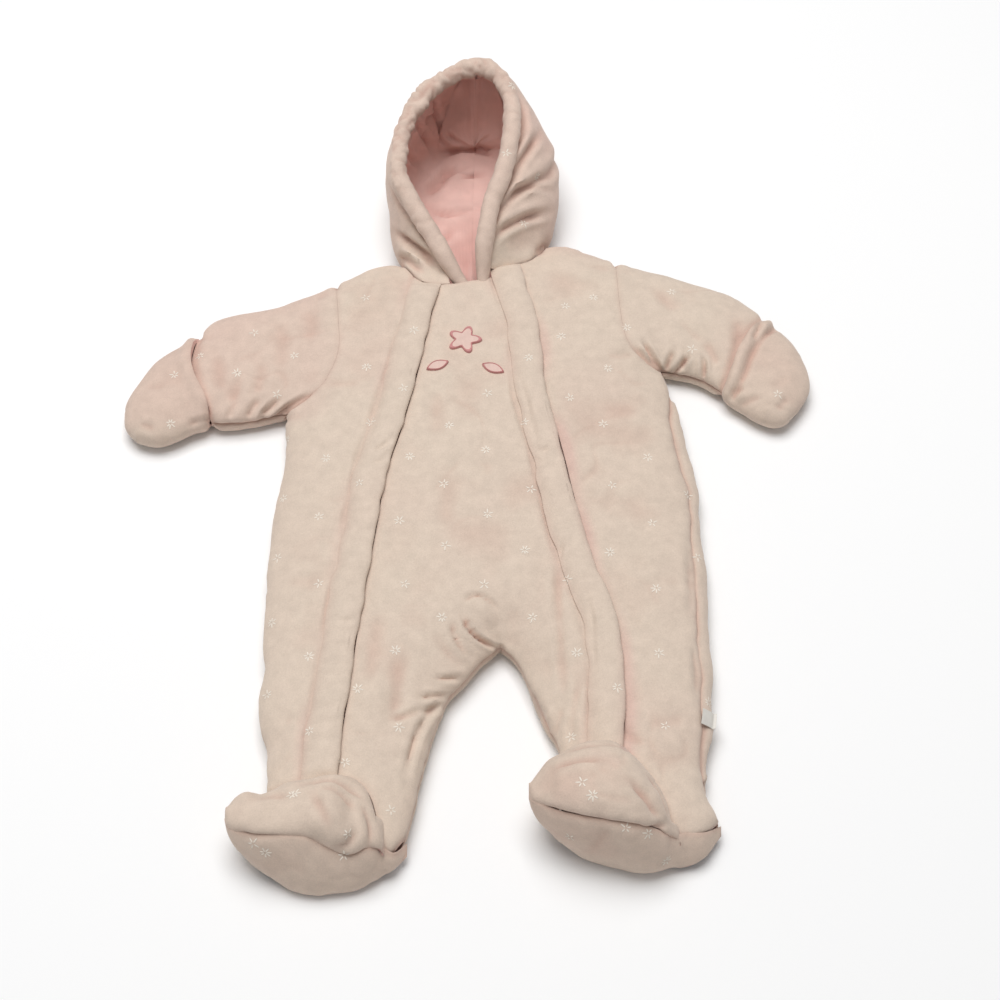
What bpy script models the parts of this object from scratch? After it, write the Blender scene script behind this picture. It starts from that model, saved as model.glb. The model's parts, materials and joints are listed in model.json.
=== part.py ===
"""Baby snowsuit in padded velour, laid on its back, with hood, fold-over mitts and feet.

+Z is up, +Y points from the feet to the hood and -X is the wearer's right. The suit is one
puffed outline: the front skin and the back skin both start at the side seams and round away
from them, and every panel is a region of those skins with its own padded wall. The hood and
the feet are lofts through short tables of sections. All tables are in millimetres.
"""

import bmesh
import bpy
import numpy as np

MM = 0.001

# Padding: a wall is thin where it is sewn or folded and full a little way in.
WALL_FULL = 8.5
WALL_SEWN = 3.0
WALL_RAMP = 17.0
SEAM_GAP = 0.4

# The puffed body: height of the side seam, rounding of both skins, height of the front.
SEAM_Z = 13.0
FRONT_ROUND = 45.0
MITT_ROUND = 32.0
BACK_ROUND = 16.0
BODY_CROWN = 32.0
SLEEVE_CROWN = 30.0
MITT_CROWN = 27.0
BELLY_DOME = 6.0
BELLY_REACH = 120.0

# Zips with their guards, the strip of the back that comes round onto the front.
ZIP_CHANNEL = 4.0
ZIP_TAPE = 11.0
ZIP_TAPE_THICK = 1.2
ZIP_DEPTH = 5.9
ZIP_TEETH = 2.8
ZIP_TEETH_TOP = 2.0
GUARD_WIDTH = 20.0
GUARD_HEIGHT = 5.5
TURNED_BACK = 8.0

# Hood, feet and small pieces.
HOOD_WALL = 5.0
LINING_WALL = 2.4
RIM_RADIUS = 7.0
SOLE_WALL = 7.0
SOLE_SEWN = 1.5
TIP_SLACK = 1.0
SOLE_BULGE = 8.0
FOOT_WALL = 6.0
LABEL_LENGTH = 12.0
LABEL_WALL = 0.8
APPLIQUE_WALL = 1.2
LABEL_Y = -263.0
LABEL_STANDS = 1.5
LABEL_LIFT = 0.6
CLEAR = 0.35
GUARD_CLEAR = 0.5
MITT_LIP = 3.0
MITT_WALL = 6.0

# Steps of the panels. Panels that share a seam step along it at the same places.
SIDE_STEPS = 14
FORK_STEP = 9
ARMHOLE_SHARES = (0, 0.04, 0.15, 0.31, 0.5, 0.69, 0.85, 0.96, 1)
SHOULDER_SHARES = (0, 0.06, 0.22, 0.54, 1)
NECK_STEPS = 3
COLUMN_SHARES = (0, 0.03, 0.11, 0.27, 0.5, 0.67, 0.83, 1)
CENTRE_SHARES = (0, 0.1, 0.35, 0.65, 0.9, 1)
CENTRE_STEPS = 13
RIGHT_LEG_STEPS = 6
LEFT_LEG_STEPS = 4
ARM_STEPS = 5
NECK_SHARE_IN = 2
RIM_CLEAR = 0.7
RIM_SIDES = 8
RIM_END_RIGHT = (-9, 137, 43)
RIM_END_LEFT = (9.5, 138, 43.5)
FLOOR_SQUARENESS = 3.5
HOOD_HEART = (0, 250, 35)
LINED_ROWS = 11
NECK_HEART = (1, 165)

# Plan outline, x and y of the side seams and folds, wearer's right side (-X).
RIGHT_SLEEVE_TOP = [(-110, 145), (-139, 130), (-163, 119), (-186, 114), (-207, 106), (-218, 90)]
RIGHT_SHOULDER = [(-59, 168), (-83, 161), (-110, 145)]
RIGHT_MITT_TOP = [(-218, 90), (-233, 80), (-250, 64), (-260, 42)]
RIGHT_MITT_TIP = [(-260, 42), (-268, 21), (-267, 1), (-257, -13)]
RIGHT_MITT_LOW = [(-257, -13), (-241, -18), (-227, -14), (-212, -5), (-200, 0)]
RIGHT_CUFF = [(-200, 0), (-204, 17), (-214, 38), (-219, 56), (-219, 73), (-218, 90)]
RIGHT_SLEEVE_LOW = [(-200, 0), (-188, 1), (-174, 2), (-156, 8), (-142, 11)]
RIGHT_SIDE = [(-142, 11), (-142, -14), (-143, -52), (-146, -89), (-147.5, -140), (-147.5, -195),
              (-146, -228), (-142.5, -262), (-138, -291), (-134, -323.5)]
RIGHT_ARMHOLE = [(-110, 145), (-105, 96), (-103, 65), (-108, 42), (-118, 25), (-142, 11)]
RIGHT_INNER_LEG = [(24, -202), (11, -214), (-1, -230), (-12, -244), (-18.5, -261), (-25, -285),
                   (-30, -308), (-33.5, -330), (-38, -352)]
RIGHT_ZIP = [(-26, 128.5), (-32.6, 95), (-38, 60), (-43.5, 27), (-53, -20), (-63, -62),
             (-69, -116), (-76.6, -181), (-82, -244), (-86, -285), (-87, -314)]

# The same for the wearer's left side (+X).
LEFT_SHOULDER = [(61, 187), (84, 185), (119, 169)]
LEFT_SLEEVE_TOP = [(119, 169), (147, 160), (180, 148), (211, 134), (239, 109)]
LEFT_MITT_TOP = [(239, 109), (248, 97), (257, 85), (263.5, 71)]
LEFT_MITT_TIP = [(263.5, 71), (268, 52), (267, 34), (257, 16)]
LEFT_MITT_LOW = [(257, 16), (247, 6), (235, 2.5), (221, 9), (208, 21), (197, 33)]
LEFT_CUFF = [(197, 33), (205, 47), (212, 66), (223, 86), (233, 99), (239, 109)]
LEFT_SLEEVE_LOW = [(197, 33), (186, 43), (174, 49), (162, 52), (151, 54)]
LEFT_SIDE = [(151, 54), (159, 31), (163, -4), (168, -28), (171.5, -62), (174, -125),
             (175, -165), (175, -228), (172.5, -262), (166, -292), (165.5, -314), (172.5, -340)]
LEFT_ARMHOLE = [(119, 169), (119, 140), (120, 108), (124, 76), (136, 58), (151, 54)]
LEFT_INNER_LEG = [(24, -202), (33, -211), (42, -228), (49, -248), (57, -268), (64, -284),
                  (64, -297)]
LEFT_ZIP = [(38, 155), (41.5, 130), (50, 95), (54.5, 60), (56, 24), (62, -4), (70.7, -46),
            (78.5, -90), (90, -142), (99, -168), (105, -192), (108, -229), (108, -262),
            (105, -294)]

# Neck: the front edge follows the scoop, the back edge runs straight across.
NECK_FRONT_RIGHT = [(-59, 168), (-42, 136), (-26, 128.5)]
NECK_FRONT_MIDDLE_RIGHT = [(-26, 128.5), (-12, 129), (1, 132)]
NECK_FRONT_MIDDLE_LEFT = [(1, 132), (14, 135), (23, 145), (38, 155)]
NECK_FRONT_LEFT = [(38, 155), (50, 164), (61, 187)]
NECK_BACK_RIGHT = [(-59, 168), (-38, 173), (1, 176)]
NECK_BACK_LEFT = [(1, 176), (40, 181), (61, 187)]
MIDDLE_FRONT = [(1, 132), (4, 60), (8, -20), (14, -100), (20, -160), (24, -202)]
MIDDLE_BACK = [(1, 176), (3, 90), (8, -20), (14, -100), (20, -160), (24, -202)]

# Ankles: where the front panels end, round the instep and down to the heel.
RIGHT_ANKLE_OUTER = [(-134, -323.5), (-118, -317.5), (-102, -316), (-87, -314)]
RIGHT_ANKLE_INNER = [(-87, -314), (-74, -316), (-64, -326), (-58, -343), (-54, -362),
                     (-47, -365), (-38, -352)]
LEFT_ANKLE_INNER = [(64, -297), (78, -292), (94, -291), (105, -294)]
LEFT_ANKLE_OUTER = [(105, -294), (115, -302), (125, -315), (133, -330), (138, -349),
                    (147, -354), (160, -351), (172.5, -340)]
RIGHT_TOE_SIDE = [(-134, -323.5), (-134, -341), (-134, -360)]
RIGHT_UNDERFOOT = [(-134, -360), (-118, -373), (-98, -378), (-80, -377), (-62, -371),
                   (-46, -362), (-38, -352)]
LEFT_TOE_SIDE = [(64, -297), (64, -320), (64, -345)]
LEFT_UNDERFOOT = [(64, -345), (78, -351), (96, -356), (118, -360), (140, -360), (158, -354),
                  (172.5, -340)]

# Foot sections: x, sole's top edge, sole's bottom edge, crown of the foot, ankle edge.
FOOT_COLUMNS = ("x", "top_y", "top_z", "low_y", "low_z", "crown_y", "crown_z", "ankle_y",
                "ankle_z")
RIGHT_FOOT = [
    (-157.5, -347, 37, -347, 32, -342, 39, -339, 35),
    (-155.5, -352, 37, -353, 27, -346, 42, -337, 33),
    (-151, -356, 39, -358.5, 20, -348, 45, -331, 32),
    (-144, -359, 41, -364, 14, -350, 48, -327, 31),
    (-134.6, -362, 44, -370, 7, -351, 50, -324, 30),
    (-118, -363, 46, -379, 1, -352, 52, -318.5, 29),
    (-102, -364, 46, -383, 0, -351, 55, -317, 29),
    (-87, -368, 37, -383, 0, -350, 58, -315, 29),
    (-74.3, -370, 32, -381, 0, -352, 49, -317, 29),
    (-64.9, -368, 35, -377, 1, -353, 46, -327.5, 28),
    (-58.9, -366, 32, -374, 2, -357, 40, -344, 27),
]
RIGHT_HEEL = [
    (-54, -367, 26, -372, 3),
    (-46, -366.5, 22, -368, 5),
    (-38, -360, 15, -361, 11),
]
LEFT_FOOT = [
    (43, -333, 43.5, -333, 39, -328, 46, -325, 42.5),
    (45, -337, 45, -338, 34, -331, 49, -323, 39),
    (49.5, -341, 48, -343, 27, -333, 53, -315, 37),
    (56, -346, 51, -347, 20, -334, 59, -306, 33),
    (63.4, -350, 53, -350, 12, -334, 66, -297.5, 30),
    (78, -355, 56, -356, 2, -335, 70, -292.5, 29),
    (94, -358, 56, -361, 0, -336, 70, -291.5, 29),
    (105, -359, 55, -364, 0, -337, 68, -294.5, 29),
    (114.6, -359, 52, -366, 0, -339, 63, -302.8, 29),
    (124.4, -359, 46, -366, 0, -341, 56, -316, 29),
    (132.3, -359, 39, -365, 1, -345, 46, -331, 28),
    (136.8, -358, 32, -365, 2, -351, 37, -347.5, 28),
]
LEFT_HEEL = [
    (147, -358, 28, -366, 3),
    (160, -356, 24, -361, 6),
    (172.5, -343, 18, -346, 13),
]
TOE_STATIONS = 5

# Hood sections from the neck to the crown. Columns: centre of the rim's roll x, y, z, then
# the widest point of the side x, y, z, then the centre seam at the bottom x, y, z.
HOOD_RIGHT = [
    (-16, 142, 45, -62, 178, 22, 1, 190, 0),
    (-31, 165, 55, -67, 196, 31, 1, 208, 0),
    (-47, 190, 66, -69, 214, 38, 1, 230, 0),
    (-58.5, 213, 75, -71, 233, 44, 1, 252, 0),
    (-58.5, 241, 81, -69, 256, 47, 1, 276, 0),
    (-52, 266, 87, -62, 280, 49, 2, 303, 0),
    (-41, 286, 92, -50, 302, 50, 3, 330, 0),
    (-22, 304, 97, -36, 323, 50, 4, 352, 0),
    (5, 313, 102, -20, 343, 46, 5, 369, 1),
]
HOOD_LEFT = [
    (9, 143, 46, 64, 193, 22, 1, 190, 0),
    (12, 162, 56, 69, 209, 30, 1, 208, 0),
    (17, 188, 67, 73, 228, 36, 1, 230, 0),
    (26, 213, 76, 73, 248, 42, 1, 252, 0),
    (32, 240, 83, 70, 268, 47, 1, 276, 0),
    (34, 266, 88, 61, 289, 48, 2, 303, 0),
    (32, 289, 92, 50, 307, 50, 3, 330, 0),
    (22, 307, 98, 39, 325, 50, 4, 352, 0),
    (5, 313, 102, 27, 344, 46, 5, 369, 1),
]
# Two more sections close the crown behind the rim, both from the same three places.
CROWN_TOP = (5, 337, 80)
CROWN_WIDE = (18, 363, 38)
CROWN_SEAM = (5, 380, 4)
END_TOP = (5, 358, 61)
END_WIDE = (5, 376, 34)
END_SEAM = (5, 384, 10)

# Chest applique: a flower with two leaves.
FLOWER_AT = (-4, 68)
FLOWER_RADIUS = 14.0
FLOWER_PETALS = 5
LEAF_LENGTH = 19.0
LEAF_WIDTH = 9.0
LEAVES = {"motif_leaf_right": (-16, 46, 205), "motif_leaf_left": (10, 43, -25)}

VELOUR = ("blush velour", (0.76, 0.64, 0.55), 0.92)
JERSEY = ("pink jersey", (0.62, 0.31, 0.27), 0.88)
TAPE = ("zip tape", (0.72, 0.60, 0.53), 0.7)
SATIN = ("satin label", (0.85, 0.83, 0.80), 0.5)
THREAD = ("embroidered applique", (0.78, 0.42, 0.40), 0.6)


def smooth_line(points, per_span=14):
    """A dense smooth line through a few points (Catmull-Rom)."""
    p = np.array(points, float)
    ends = np.vstack([2 * p[0] - p[1], p, 2 * p[-1] - p[-2]])
    line = []
    for a, b, c, d in zip(ends, ends[1:], ends[2:], ends[3:]):
        for t in np.linspace(0, 1, per_span, endpoint=False):
            line.append(b + 0.5 * t * ((c - a) + t * (2 * a - 5 * b + 4 * c - d)
                                       + t * t * (3 * b - a - 3 * c + d)))
    line.append(p[-1])
    return np.array(line)


def along(line, fractions):
    """Points at the given fractions of a line's length."""
    steps = np.linalg.norm(np.diff(line, axis=0), axis=1)
    run = np.concatenate([[0], np.cumsum(steps)]) / steps.sum()
    return np.stack([np.interp(fractions, run, line[:, k]) for k in range(line.shape[1])], 1)


def steps(table, count):
    """A table's smooth line in even steps."""
    return along(smooth_line(table), np.linspace(0, 1, count + 1))


def shares(table, fractions):
    """A table's smooth line at the given fractions."""
    return along(smooth_line(table), fractions)


def chain(*lines):
    """Lines end to end without repeating the points where they meet."""
    return np.vstack([lines[0]] + [line[1:] for line in lines[1:]])


def fractions_of(line):
    """Fraction of a line's length at each of its points."""
    spans = np.linalg.norm(np.diff(line, axis=0), axis=1)
    return np.concatenate([[0], np.cumsum(spans)]) / spans.sum()


def coons(left, right, low, high):
    """Grid between four lines: rows run from left to right, columns from low to high."""
    u = (fractions_of(low) + fractions_of(high))[None, :, None] / 2
    v = (fractions_of(left) + fractions_of(right))[:, None, None] / 2
    sides = (1 - u) * left[:, None] + u * right[:, None]
    ends = (1 - v) * low[None] + v * high[None]
    corners = ((1 - u) * (1 - v) * left[0] + u * (1 - v) * right[0]
               + (1 - u) * v * left[-1] + u * v * right[-1])
    return sides + ends - corners


def drawn_in(grid, amount, sides):
    """Moves the named sides of a grid inwards by an amount, easing off across the grid."""
    out = grid.copy()
    rows = np.linspace(1, 0, grid.shape[0])[:, None, None] ** 2
    columns = np.linspace(1, 0, grid.shape[1])[None, :, None] ** 2
    places = {"left": (np.s_[:, :1], columns), "right": (np.s_[:, -1:], columns[:, ::-1]),
              "low": (np.s_[:1], rows), "high": (np.s_[-1:], rows[::-1])}
    for side in sides:
        edge, share = places[side]
        upright = side in ("left", "right")
        run = np.gradient(grid[edge], axis=0 if upright else 1)
        square = np.stack([-run[..., 1], run[..., 0]], 2)
        square /= np.linalg.norm(square, axis=2)[..., None]
        turn = 1 if side in ("right", "low") else -1
        out += square * share * amount * turn * winding(grid)
    return out


def winding(grid):
    """+1 where rows then columns of a plan grid turn anticlockwise, -1 the other way."""
    rim = np.concatenate([grid[0], grid[:, -1], grid[-1][::-1], grid[::-1, 0]])
    after = np.roll(rim, -1, axis=0)
    return np.sign(np.sum(rim[:, 0] * after[:, 1] - rim[:, 1] * after[:, 0]))


def to_segments(points, starts, stops):
    """Distance from each point to the nearest segment, and the nearest place."""
    run = stops - starts
    length = np.maximum(np.sum(run * run, axis=1), 1e-9)
    t = np.clip(np.einsum("psk,sk->ps", points[:, None] - starts[None], run) / length, 0, 1)
    near = starts[None] + t[..., None] * run[None]
    gap = np.linalg.norm(points[:, None] - near, axis=2)
    best = gap.argmin(axis=1)
    rows = np.arange(len(points))
    return gap[rows, best], near[rows, best], best


def ease(q):
    """Smooth step from 0 to 1."""
    q = np.clip(q, 0, 1)
    return q * q * (3 - 2 * q)


def back_to_front(table):
    """The same table read from its other end."""
    return table[::-1]


def outline(reach_past):
    """The closed plan outline, anticlockwise, run on past the neck and the feet."""
    neck = [(61, 187), (50, 181 + reach_past), (1, 176 + reach_past), (-50, 171 + reach_past),
            (-59, 168)]
    right_foot = [(-135, -368 - reach_past), (-98, -385 - reach_past),
                  (-60, -378 - reach_past), (-38, -361)]
    left_foot = [(63, -352 - reach_past), (96, -366 - reach_past), (140, -368 - reach_past),
                 (160, -360 - reach_past)]
    going_down = [RIGHT_SHOULDER, RIGHT_SLEEVE_TOP, RIGHT_MITT_TOP, RIGHT_MITT_TIP,
                  RIGHT_MITT_LOW, RIGHT_SLEEVE_LOW, RIGHT_SIDE]
    going_up = [LEFT_SIDE, LEFT_SLEEVE_LOW, LEFT_MITT_LOW, LEFT_MITT_TIP, LEFT_MITT_TOP,
                LEFT_SLEEVE_TOP, LEFT_SHOULDER]
    pieces = [neck] + [smooth_line(table) for table in going_down]
    pieces += [right_foot, smooth_line(back_to_front(RIGHT_INNER_LEG)),
               smooth_line(LEFT_INNER_LEG), left_foot]
    pieces += [smooth_line(back_to_front(table)) for table in going_up]
    loop = np.vstack([np.array(piece, float) for piece in pieces])
    keep = np.linalg.norm(loop - np.roll(loop, 1, axis=0), axis=1) > 0.01
    return loop[keep]


OUTLINES = {"front": outline(0), "back": outline(40)}


def inset(plan, side):
    """How far each plan point lies inside the outline, and the inward direction there."""
    loop = OUTLINES[side]
    after = np.roll(loop, -1, axis=0)
    gap, near, best = to_segments(plan, loop, after)
    run = (after - loop)[best]
    inward = np.stack([-run[:, 1], run[:, 0]], 1) / np.linalg.norm(run, axis=1)[:, None]
    far = gap > 0.3
    inward[far] = (plan - near)[far] / gap[far][:, None]
    return gap, inward


def arm_share(plan):
    """0 on the body, 1 on the sleeves."""
    return ease((np.abs(plan[:, 0] - 12) - 105) / 40) * ease((plan[:, 1] + 20) / 25)


def mitt_share(plan):
    """0 up to the cuffs, 1 on the mitts."""
    return ease((np.abs(plan[:, 0]) - 195) / 30)


def crown(plan):
    """Height of the front skin away from its edges."""
    arm = arm_share(plan)
    mitt = mitt_share(plan)
    body = BODY_CROWN + (SLEEVE_CROWN - BODY_CROWN) * arm
    return body + (MITT_CROWN - SLEEVE_CROWN) * mitt


def skin(plan, side):
    """Points and outward normals of the front or back skin over plan points."""
    shape = plan.shape[:-1]
    flat = plan.reshape(-1, 2)
    gap, inward = inset(flat, side)
    sign = 1 if side == "front" else -1
    start = SEAM_Z + sign * SEAM_GAP / 2
    if side == "front":
        reach = FRONT_ROUND + (MITT_ROUND - FRONT_ROUND) * mitt_share(flat)
        rise = crown(flat) - start
        dome = BELLY_DOME * ease(gap / BELLY_REACH)
    else:
        reach = np.full(len(flat), BACK_ROUND)
        rise = np.full(len(flat), start)
        dome = np.zeros(len(flat))
    q = np.clip(gap / reach, 0, 1)
    z = start + sign * (rise * np.sqrt(q * (2 - q)) + dome)
    slope = rise / reach * (1 - q) / np.sqrt(np.maximum(q * (2 - q), 2e-4))
    normal = np.column_stack([-inward * slope[:, None], np.full(len(flat), float(sign))])
    normal /= np.linalg.norm(normal, axis=1)[:, None]
    points = np.column_stack([flat, z])
    return points.reshape(shape + (3,)), normal.reshape(shape + (3,))


def mesh_object(name, points, faces, finish):
    """A mesh object in metres with its own material."""
    bm = bmesh.new()
    verts = [bm.verts.new([c * MM for c in point]) for point in points]
    for face in faces:
        bm.faces.new([verts[k] for k in face])
    mesh = bpy.data.meshes.new(name)
    bm.to_mesh(mesh)
    bm.free()
    mesh.shade_smooth()
    mesh.set_sharp_from_angle(angle=0.9)
    part = bpy.data.objects.new(name, mesh)
    give_finish(part, finish)
    return part


def give_finish(part, finish):
    """Puts an object in the suit's collection with a material of its own."""
    label, colour, roughness = finish
    material = bpy.data.materials.new(f"{label} {part.name}")
    material.use_nodes = True
    shader = material.node_tree.nodes["Principled BSDF"]
    shader.inputs["Base Color"].default_value = (*colour, 1)
    shader.inputs["Roughness"].default_value = roughness
    part.data.materials.append(material)
    bpy.data.collections["baby_snowsuit"].objects.link(part)


def weld(patches):
    """Joins grids that share points: points, normals and triangles facing along them."""
    index = {}
    points, normals, faces = [], [], []
    for grid, normal in patches:
        rows, columns = grid.shape[:2]
        ids = np.empty((rows, columns), int)
        for r in range(rows):
            for c in range(columns):
                key = tuple(np.round(grid[r, c], 2))
                if key not in index:
                    index[key] = len(points)
                    points.append(grid[r, c])
                    normals.append(normal[r, c])
                ids[r, c] = index[key]
        for r in range(rows - 1):
            for c in range(columns - 1):
                a, b, e, d = ids[r, c], ids[r, c + 1], ids[r + 1, c + 1], ids[r + 1, c]
                across = grid[r, c + 1] - grid[r, c] + grid[r + 1, c + 1] - grid[r + 1, c]
                up = grid[r + 1, c] - grid[r, c] + grid[r + 1, c + 1] - grid[r, c + 1]
                heading = normal[r, c] + normal[r + 1, c + 1]
                facing = np.dot(np.cross(across, up), heading)
                halves = [[a, b, e], [a, e, d]]
                if (r, c) in ((rows - 2, 0), (0, columns - 2)):
                    halves = [[a, b, d], [b, e, d]]
                faces += halves if facing > 0 else [half[::-1] for half in halves]
    return np.array(points), np.array(normals), faces


def rim_edges(faces):
    """Directed edges that only one face uses."""
    edges = set()
    for face in faces:
        for a, b in zip(face, face[1:] + face[:1]):
            if (b, a) in edges:
                edges.remove((b, a))
            else:
                edges.add((a, b))
    return sorted(edges)


def closed(name, points, inner, faces, finish):
    """A solid from an outer skin, the matching inner skin and the rim between them."""
    count = len(points)
    sides = [[k + count for k in face[::-1]] for face in faces]
    rims = [[b, a, a + count, b + count] for a, b in rim_edges(faces)]
    return mesh_object(name, np.vstack([points, inner]), faces + sides + rims, finish)


def tube(name, rings, caps, finish):
    """A solid through closed rings of points, with the faces that cap its first ring."""
    count, size = rings.shape[:2]
    faces = []
    for start in range(0, (count - 1) * size, size):
        for k in range(size):
            after = (k + 1) % size
            faces.append([start + k, start + after, start + size + after, start + size + k])
    faces += [face[::-1] for face in caps]
    faces += [[k + (count - 1) * size for k in face] for face in caps]
    mesh_object(name, rings.reshape(-1, 3), faces, finish)


def wall(name, patches, finish, full=WALL_FULL, sewn=WALL_SEWN, fold=None, keep=None):
    """A padded wall: thin at its own edges and at a fold, full a little way in."""
    points, normals, faces = weld(patches)
    rim = rim_edges(faces)
    starts = points[[a for a, _ in rim]]
    stops = points[[b for _, b in rim]]
    reach = to_segments(points, starts, stops)[0]
    if fold is not None:
        reach = np.minimum(reach, fold(points))
    thick = sewn + (full - sewn) * ease(reach / WALL_RAMP)
    inner = points - normals * thick[:, None]
    if keep is not None:
        inner = keep(points, inner)
    return closed(name, points, inner, faces, finish)


def outline_fold(points):
    """Padding is pressed thin where a panel folds round the outline."""
    return inset(points[:, :2], "front")[0]


def clear_of_seam(points, inner):
    """Keeps the lining side of every panel on its own side of the side seams' level."""
    level = points[:, 2] - SEAM_Z
    z = inner[:, 2].copy()
    front = level > SEAM_GAP / 4
    back = level < -SEAM_GAP / 4
    z[front] = np.maximum(z[front], SEAM_Z + SEAM_GAP / 2)
    z[back] = np.minimum(z[back], SEAM_Z - SEAM_GAP / 2)
    z[~front & ~back] = SEAM_Z
    return np.column_stack([inner[:, :2], z])


def split_panel(outer, middle, inner_leg, top, low):
    """Half of a panel with two legs: rows from the top to the fork, then down one leg."""
    fork = len(middle)
    shares_across = (fractions_of(top) + fractions_of(low)) / 2
    cross = along(np.stack([outer[fork - 1], middle[-1]]), shares_across)
    upper = coons(outer[:fork], middle, top, cross)
    lower = coons(outer[fork - 1:], inner_leg, cross, low)
    return np.concatenate([upper, lower[1:]])


def turn_width(y):
    """How far the back comes round onto the front at the wearer's left side."""
    return TURNED_BACK * ease((45 - y) / 60) * ease((y + 335) / 90)


def inward_step(line, amount):
    """A line moved to its left by an amount at each point."""
    run = np.gradient(line, axis=0)
    square = np.stack([-run[:, 1], run[:, 0]], 1)
    return line + square / np.linalg.norm(square, axis=1)[:, None] * amount[:, None]


def top_edge(shoulder, neck):
    """The top of an outer panel, from the armhole over the shoulder and along the neck."""
    return chain(shares(back_to_front(shoulder), SHOULDER_SHARES), steps(neck, NECK_STEPS))


def side_front_grids():
    """Plan grids of the two outer fronts, rows from the ankle up, zip edge last."""
    grids = {}
    seam = steps(back_to_front(RIGHT_SIDE), SIDE_STEPS)
    seam = chain(seam, shares(back_to_front(RIGHT_ARMHOLE), ARMHOLE_SHARES))
    zip_edge = steps(back_to_front(RIGHT_ZIP), len(seam) - 1)
    top = top_edge(RIGHT_SHOULDER, NECK_FRONT_RIGHT)
    low = shares(RIGHT_ANKLE_OUTER, COLUMN_SHARES)
    grids["front_side_right"] = coons(seam, zip_edge, low, top)
    side = steps(back_to_front(LEFT_SIDE), SIDE_STEPS)
    seam = inward_step(side, turn_width(side[:, 1]))
    seam = chain(seam, shares(back_to_front(LEFT_ARMHOLE), ARMHOLE_SHARES))
    zip_edge = steps(back_to_front(LEFT_ZIP), len(seam) - 1)
    top = top_edge(LEFT_SHOULDER, back_to_front(NECK_FRONT_LEFT))
    low = shares(back_to_front(LEFT_ANKLE_OUTER), COLUMN_SHARES)
    grids["front_side_left"] = coons(seam, zip_edge, low, top)
    for name, grid in grids.items():
        grid = drawn_in(grid, SEAM_GAP / 2, ["left", "low", "high"])
        grids[name] = drawn_in(grid, ZIP_CHANNEL / 2, ["right"])
    return grids


def zip_rows(table, leg_steps):
    """The rows of the middle front at its zip edge, even above and below the fork."""
    line = smooth_line(table)
    fork_share = np.interp(-MIDDLE_FRONT[-1][1], -line[:, 1], fractions_of(line))
    upper = along(line, np.linspace(0, fork_share, CENTRE_STEPS + 1))
    lower = along(line, np.linspace(fork_share, 1, leg_steps + 1))
    return chain(upper, lower)


def centre_front_grids():
    """Plan grids of the two halves of the middle front, rows from the neck down."""
    middle = steps(MIDDLE_FRONT, CENTRE_STEPS)
    halves = {
        "right": (RIGHT_ZIP, steps(RIGHT_INNER_LEG, RIGHT_LEG_STEPS), NECK_FRONT_MIDDLE_RIGHT,
                  RIGHT_ANKLE_INNER),
        "left": (LEFT_ZIP, steps(LEFT_INNER_LEG, LEFT_LEG_STEPS),
                 back_to_front(NECK_FRONT_MIDDLE_LEFT), back_to_front(LEFT_ANKLE_INNER)),
    }
    grids = {}
    for half, (zip_line, inner_leg, neck, ankle) in halves.items():
        top = shares(neck, CENTRE_SHARES)
        low = shares(ankle, CENTRE_SHARES)
        outer = zip_rows(zip_line, len(inner_leg) - 1)
        grid = split_panel(outer, middle, inner_leg, top, low)
        grid = drawn_in(grid, ZIP_CHANNEL / 2, ["left"])
        grid[-1] = drawn_in(grid, SEAM_GAP / 2, ["high"])[-1]
        grid[0, :, 1] -= SEAM_GAP / 2
        grids[half] = grid
    return grids


def build_fronts(sides, centre):
    """The two outer fronts and the middle front with both inner legs."""
    for name, grid in sides.items():
        wall(name, [skin(grid, "front")], VELOUR, keep=clear_of_seam)
    wall("front_centre", [skin(grid, "front") for grid in centre.values()], VELOUR,
         keep=clear_of_seam)


def build_back():
    """The whole back with both legs, and its strip turned onto the front at +X."""
    middle = steps(MIDDLE_BACK, len(ARMHOLE_SHARES) - 1 + FORK_STEP)
    right_outer = chain(shares(back_to_front(RIGHT_ARMHOLE), ARMHOLE_SHARES)[::-1],
                        steps(RIGHT_SIDE, SIDE_STEPS), steps(RIGHT_TOE_SIDE, 1))
    right = split_panel(right_outer, middle, steps(RIGHT_INNER_LEG, RIGHT_LEG_STEPS),
                        top_edge(RIGHT_SHOULDER, NECK_BACK_RIGHT),
                        shares(RIGHT_UNDERFOOT, COLUMN_SHARES))
    left_outer = chain(shares(back_to_front(LEFT_ARMHOLE), ARMHOLE_SHARES)[::-1],
                       steps(LEFT_SIDE, SIDE_STEPS))
    left_inner = chain(steps(LEFT_INNER_LEG, LEFT_LEG_STEPS), steps(LEFT_TOE_SIDE, 1))
    left = split_panel(left_outer, middle, left_inner,
                       top_edge(LEFT_SHOULDER, back_to_front(NECK_BACK_LEFT)),
                       shares(back_to_front(LEFT_UNDERFOOT), COLUMN_SHARES))
    patches = []
    for grid in (right, left):
        grid = drawn_in(grid, SEAM_GAP / 2, ["left"])
        grid[-1] = drawn_in(grid, SEAM_GAP / 2, ["high"])[-1]
        grid[0, :, 1] -= SEAM_GAP / 2
        patches.append(skin(grid, "back"))
    patches.append(turned_strip(*patches[1]))
    wall("back", patches, VELOUR, keep=clear_of_seam)


def turned_strip(points, normals):
    """The strip of the back that comes round the wearer's left side onto the front."""
    seam = steps(LEFT_SIDE, SIDE_STEPS)
    widths = turn_width(seam[:, 1])
    chosen = np.flatnonzero(widths > 1.5)
    rows = chosen + len(ARMHOLE_SHARES) - 1
    strip = [inward_step(seam[::-1], share * (widths[::-1] - SEAM_GAP))[::-1][chosen]
             for share in (0.2, 0.55, 1.0)]
    over, over_normals = skin(np.stack(strip, 1), "front")
    return (np.concatenate([points[rows, :1], over], axis=1),
            np.concatenate([normals[rows, :1], over_normals], axis=1))


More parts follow.
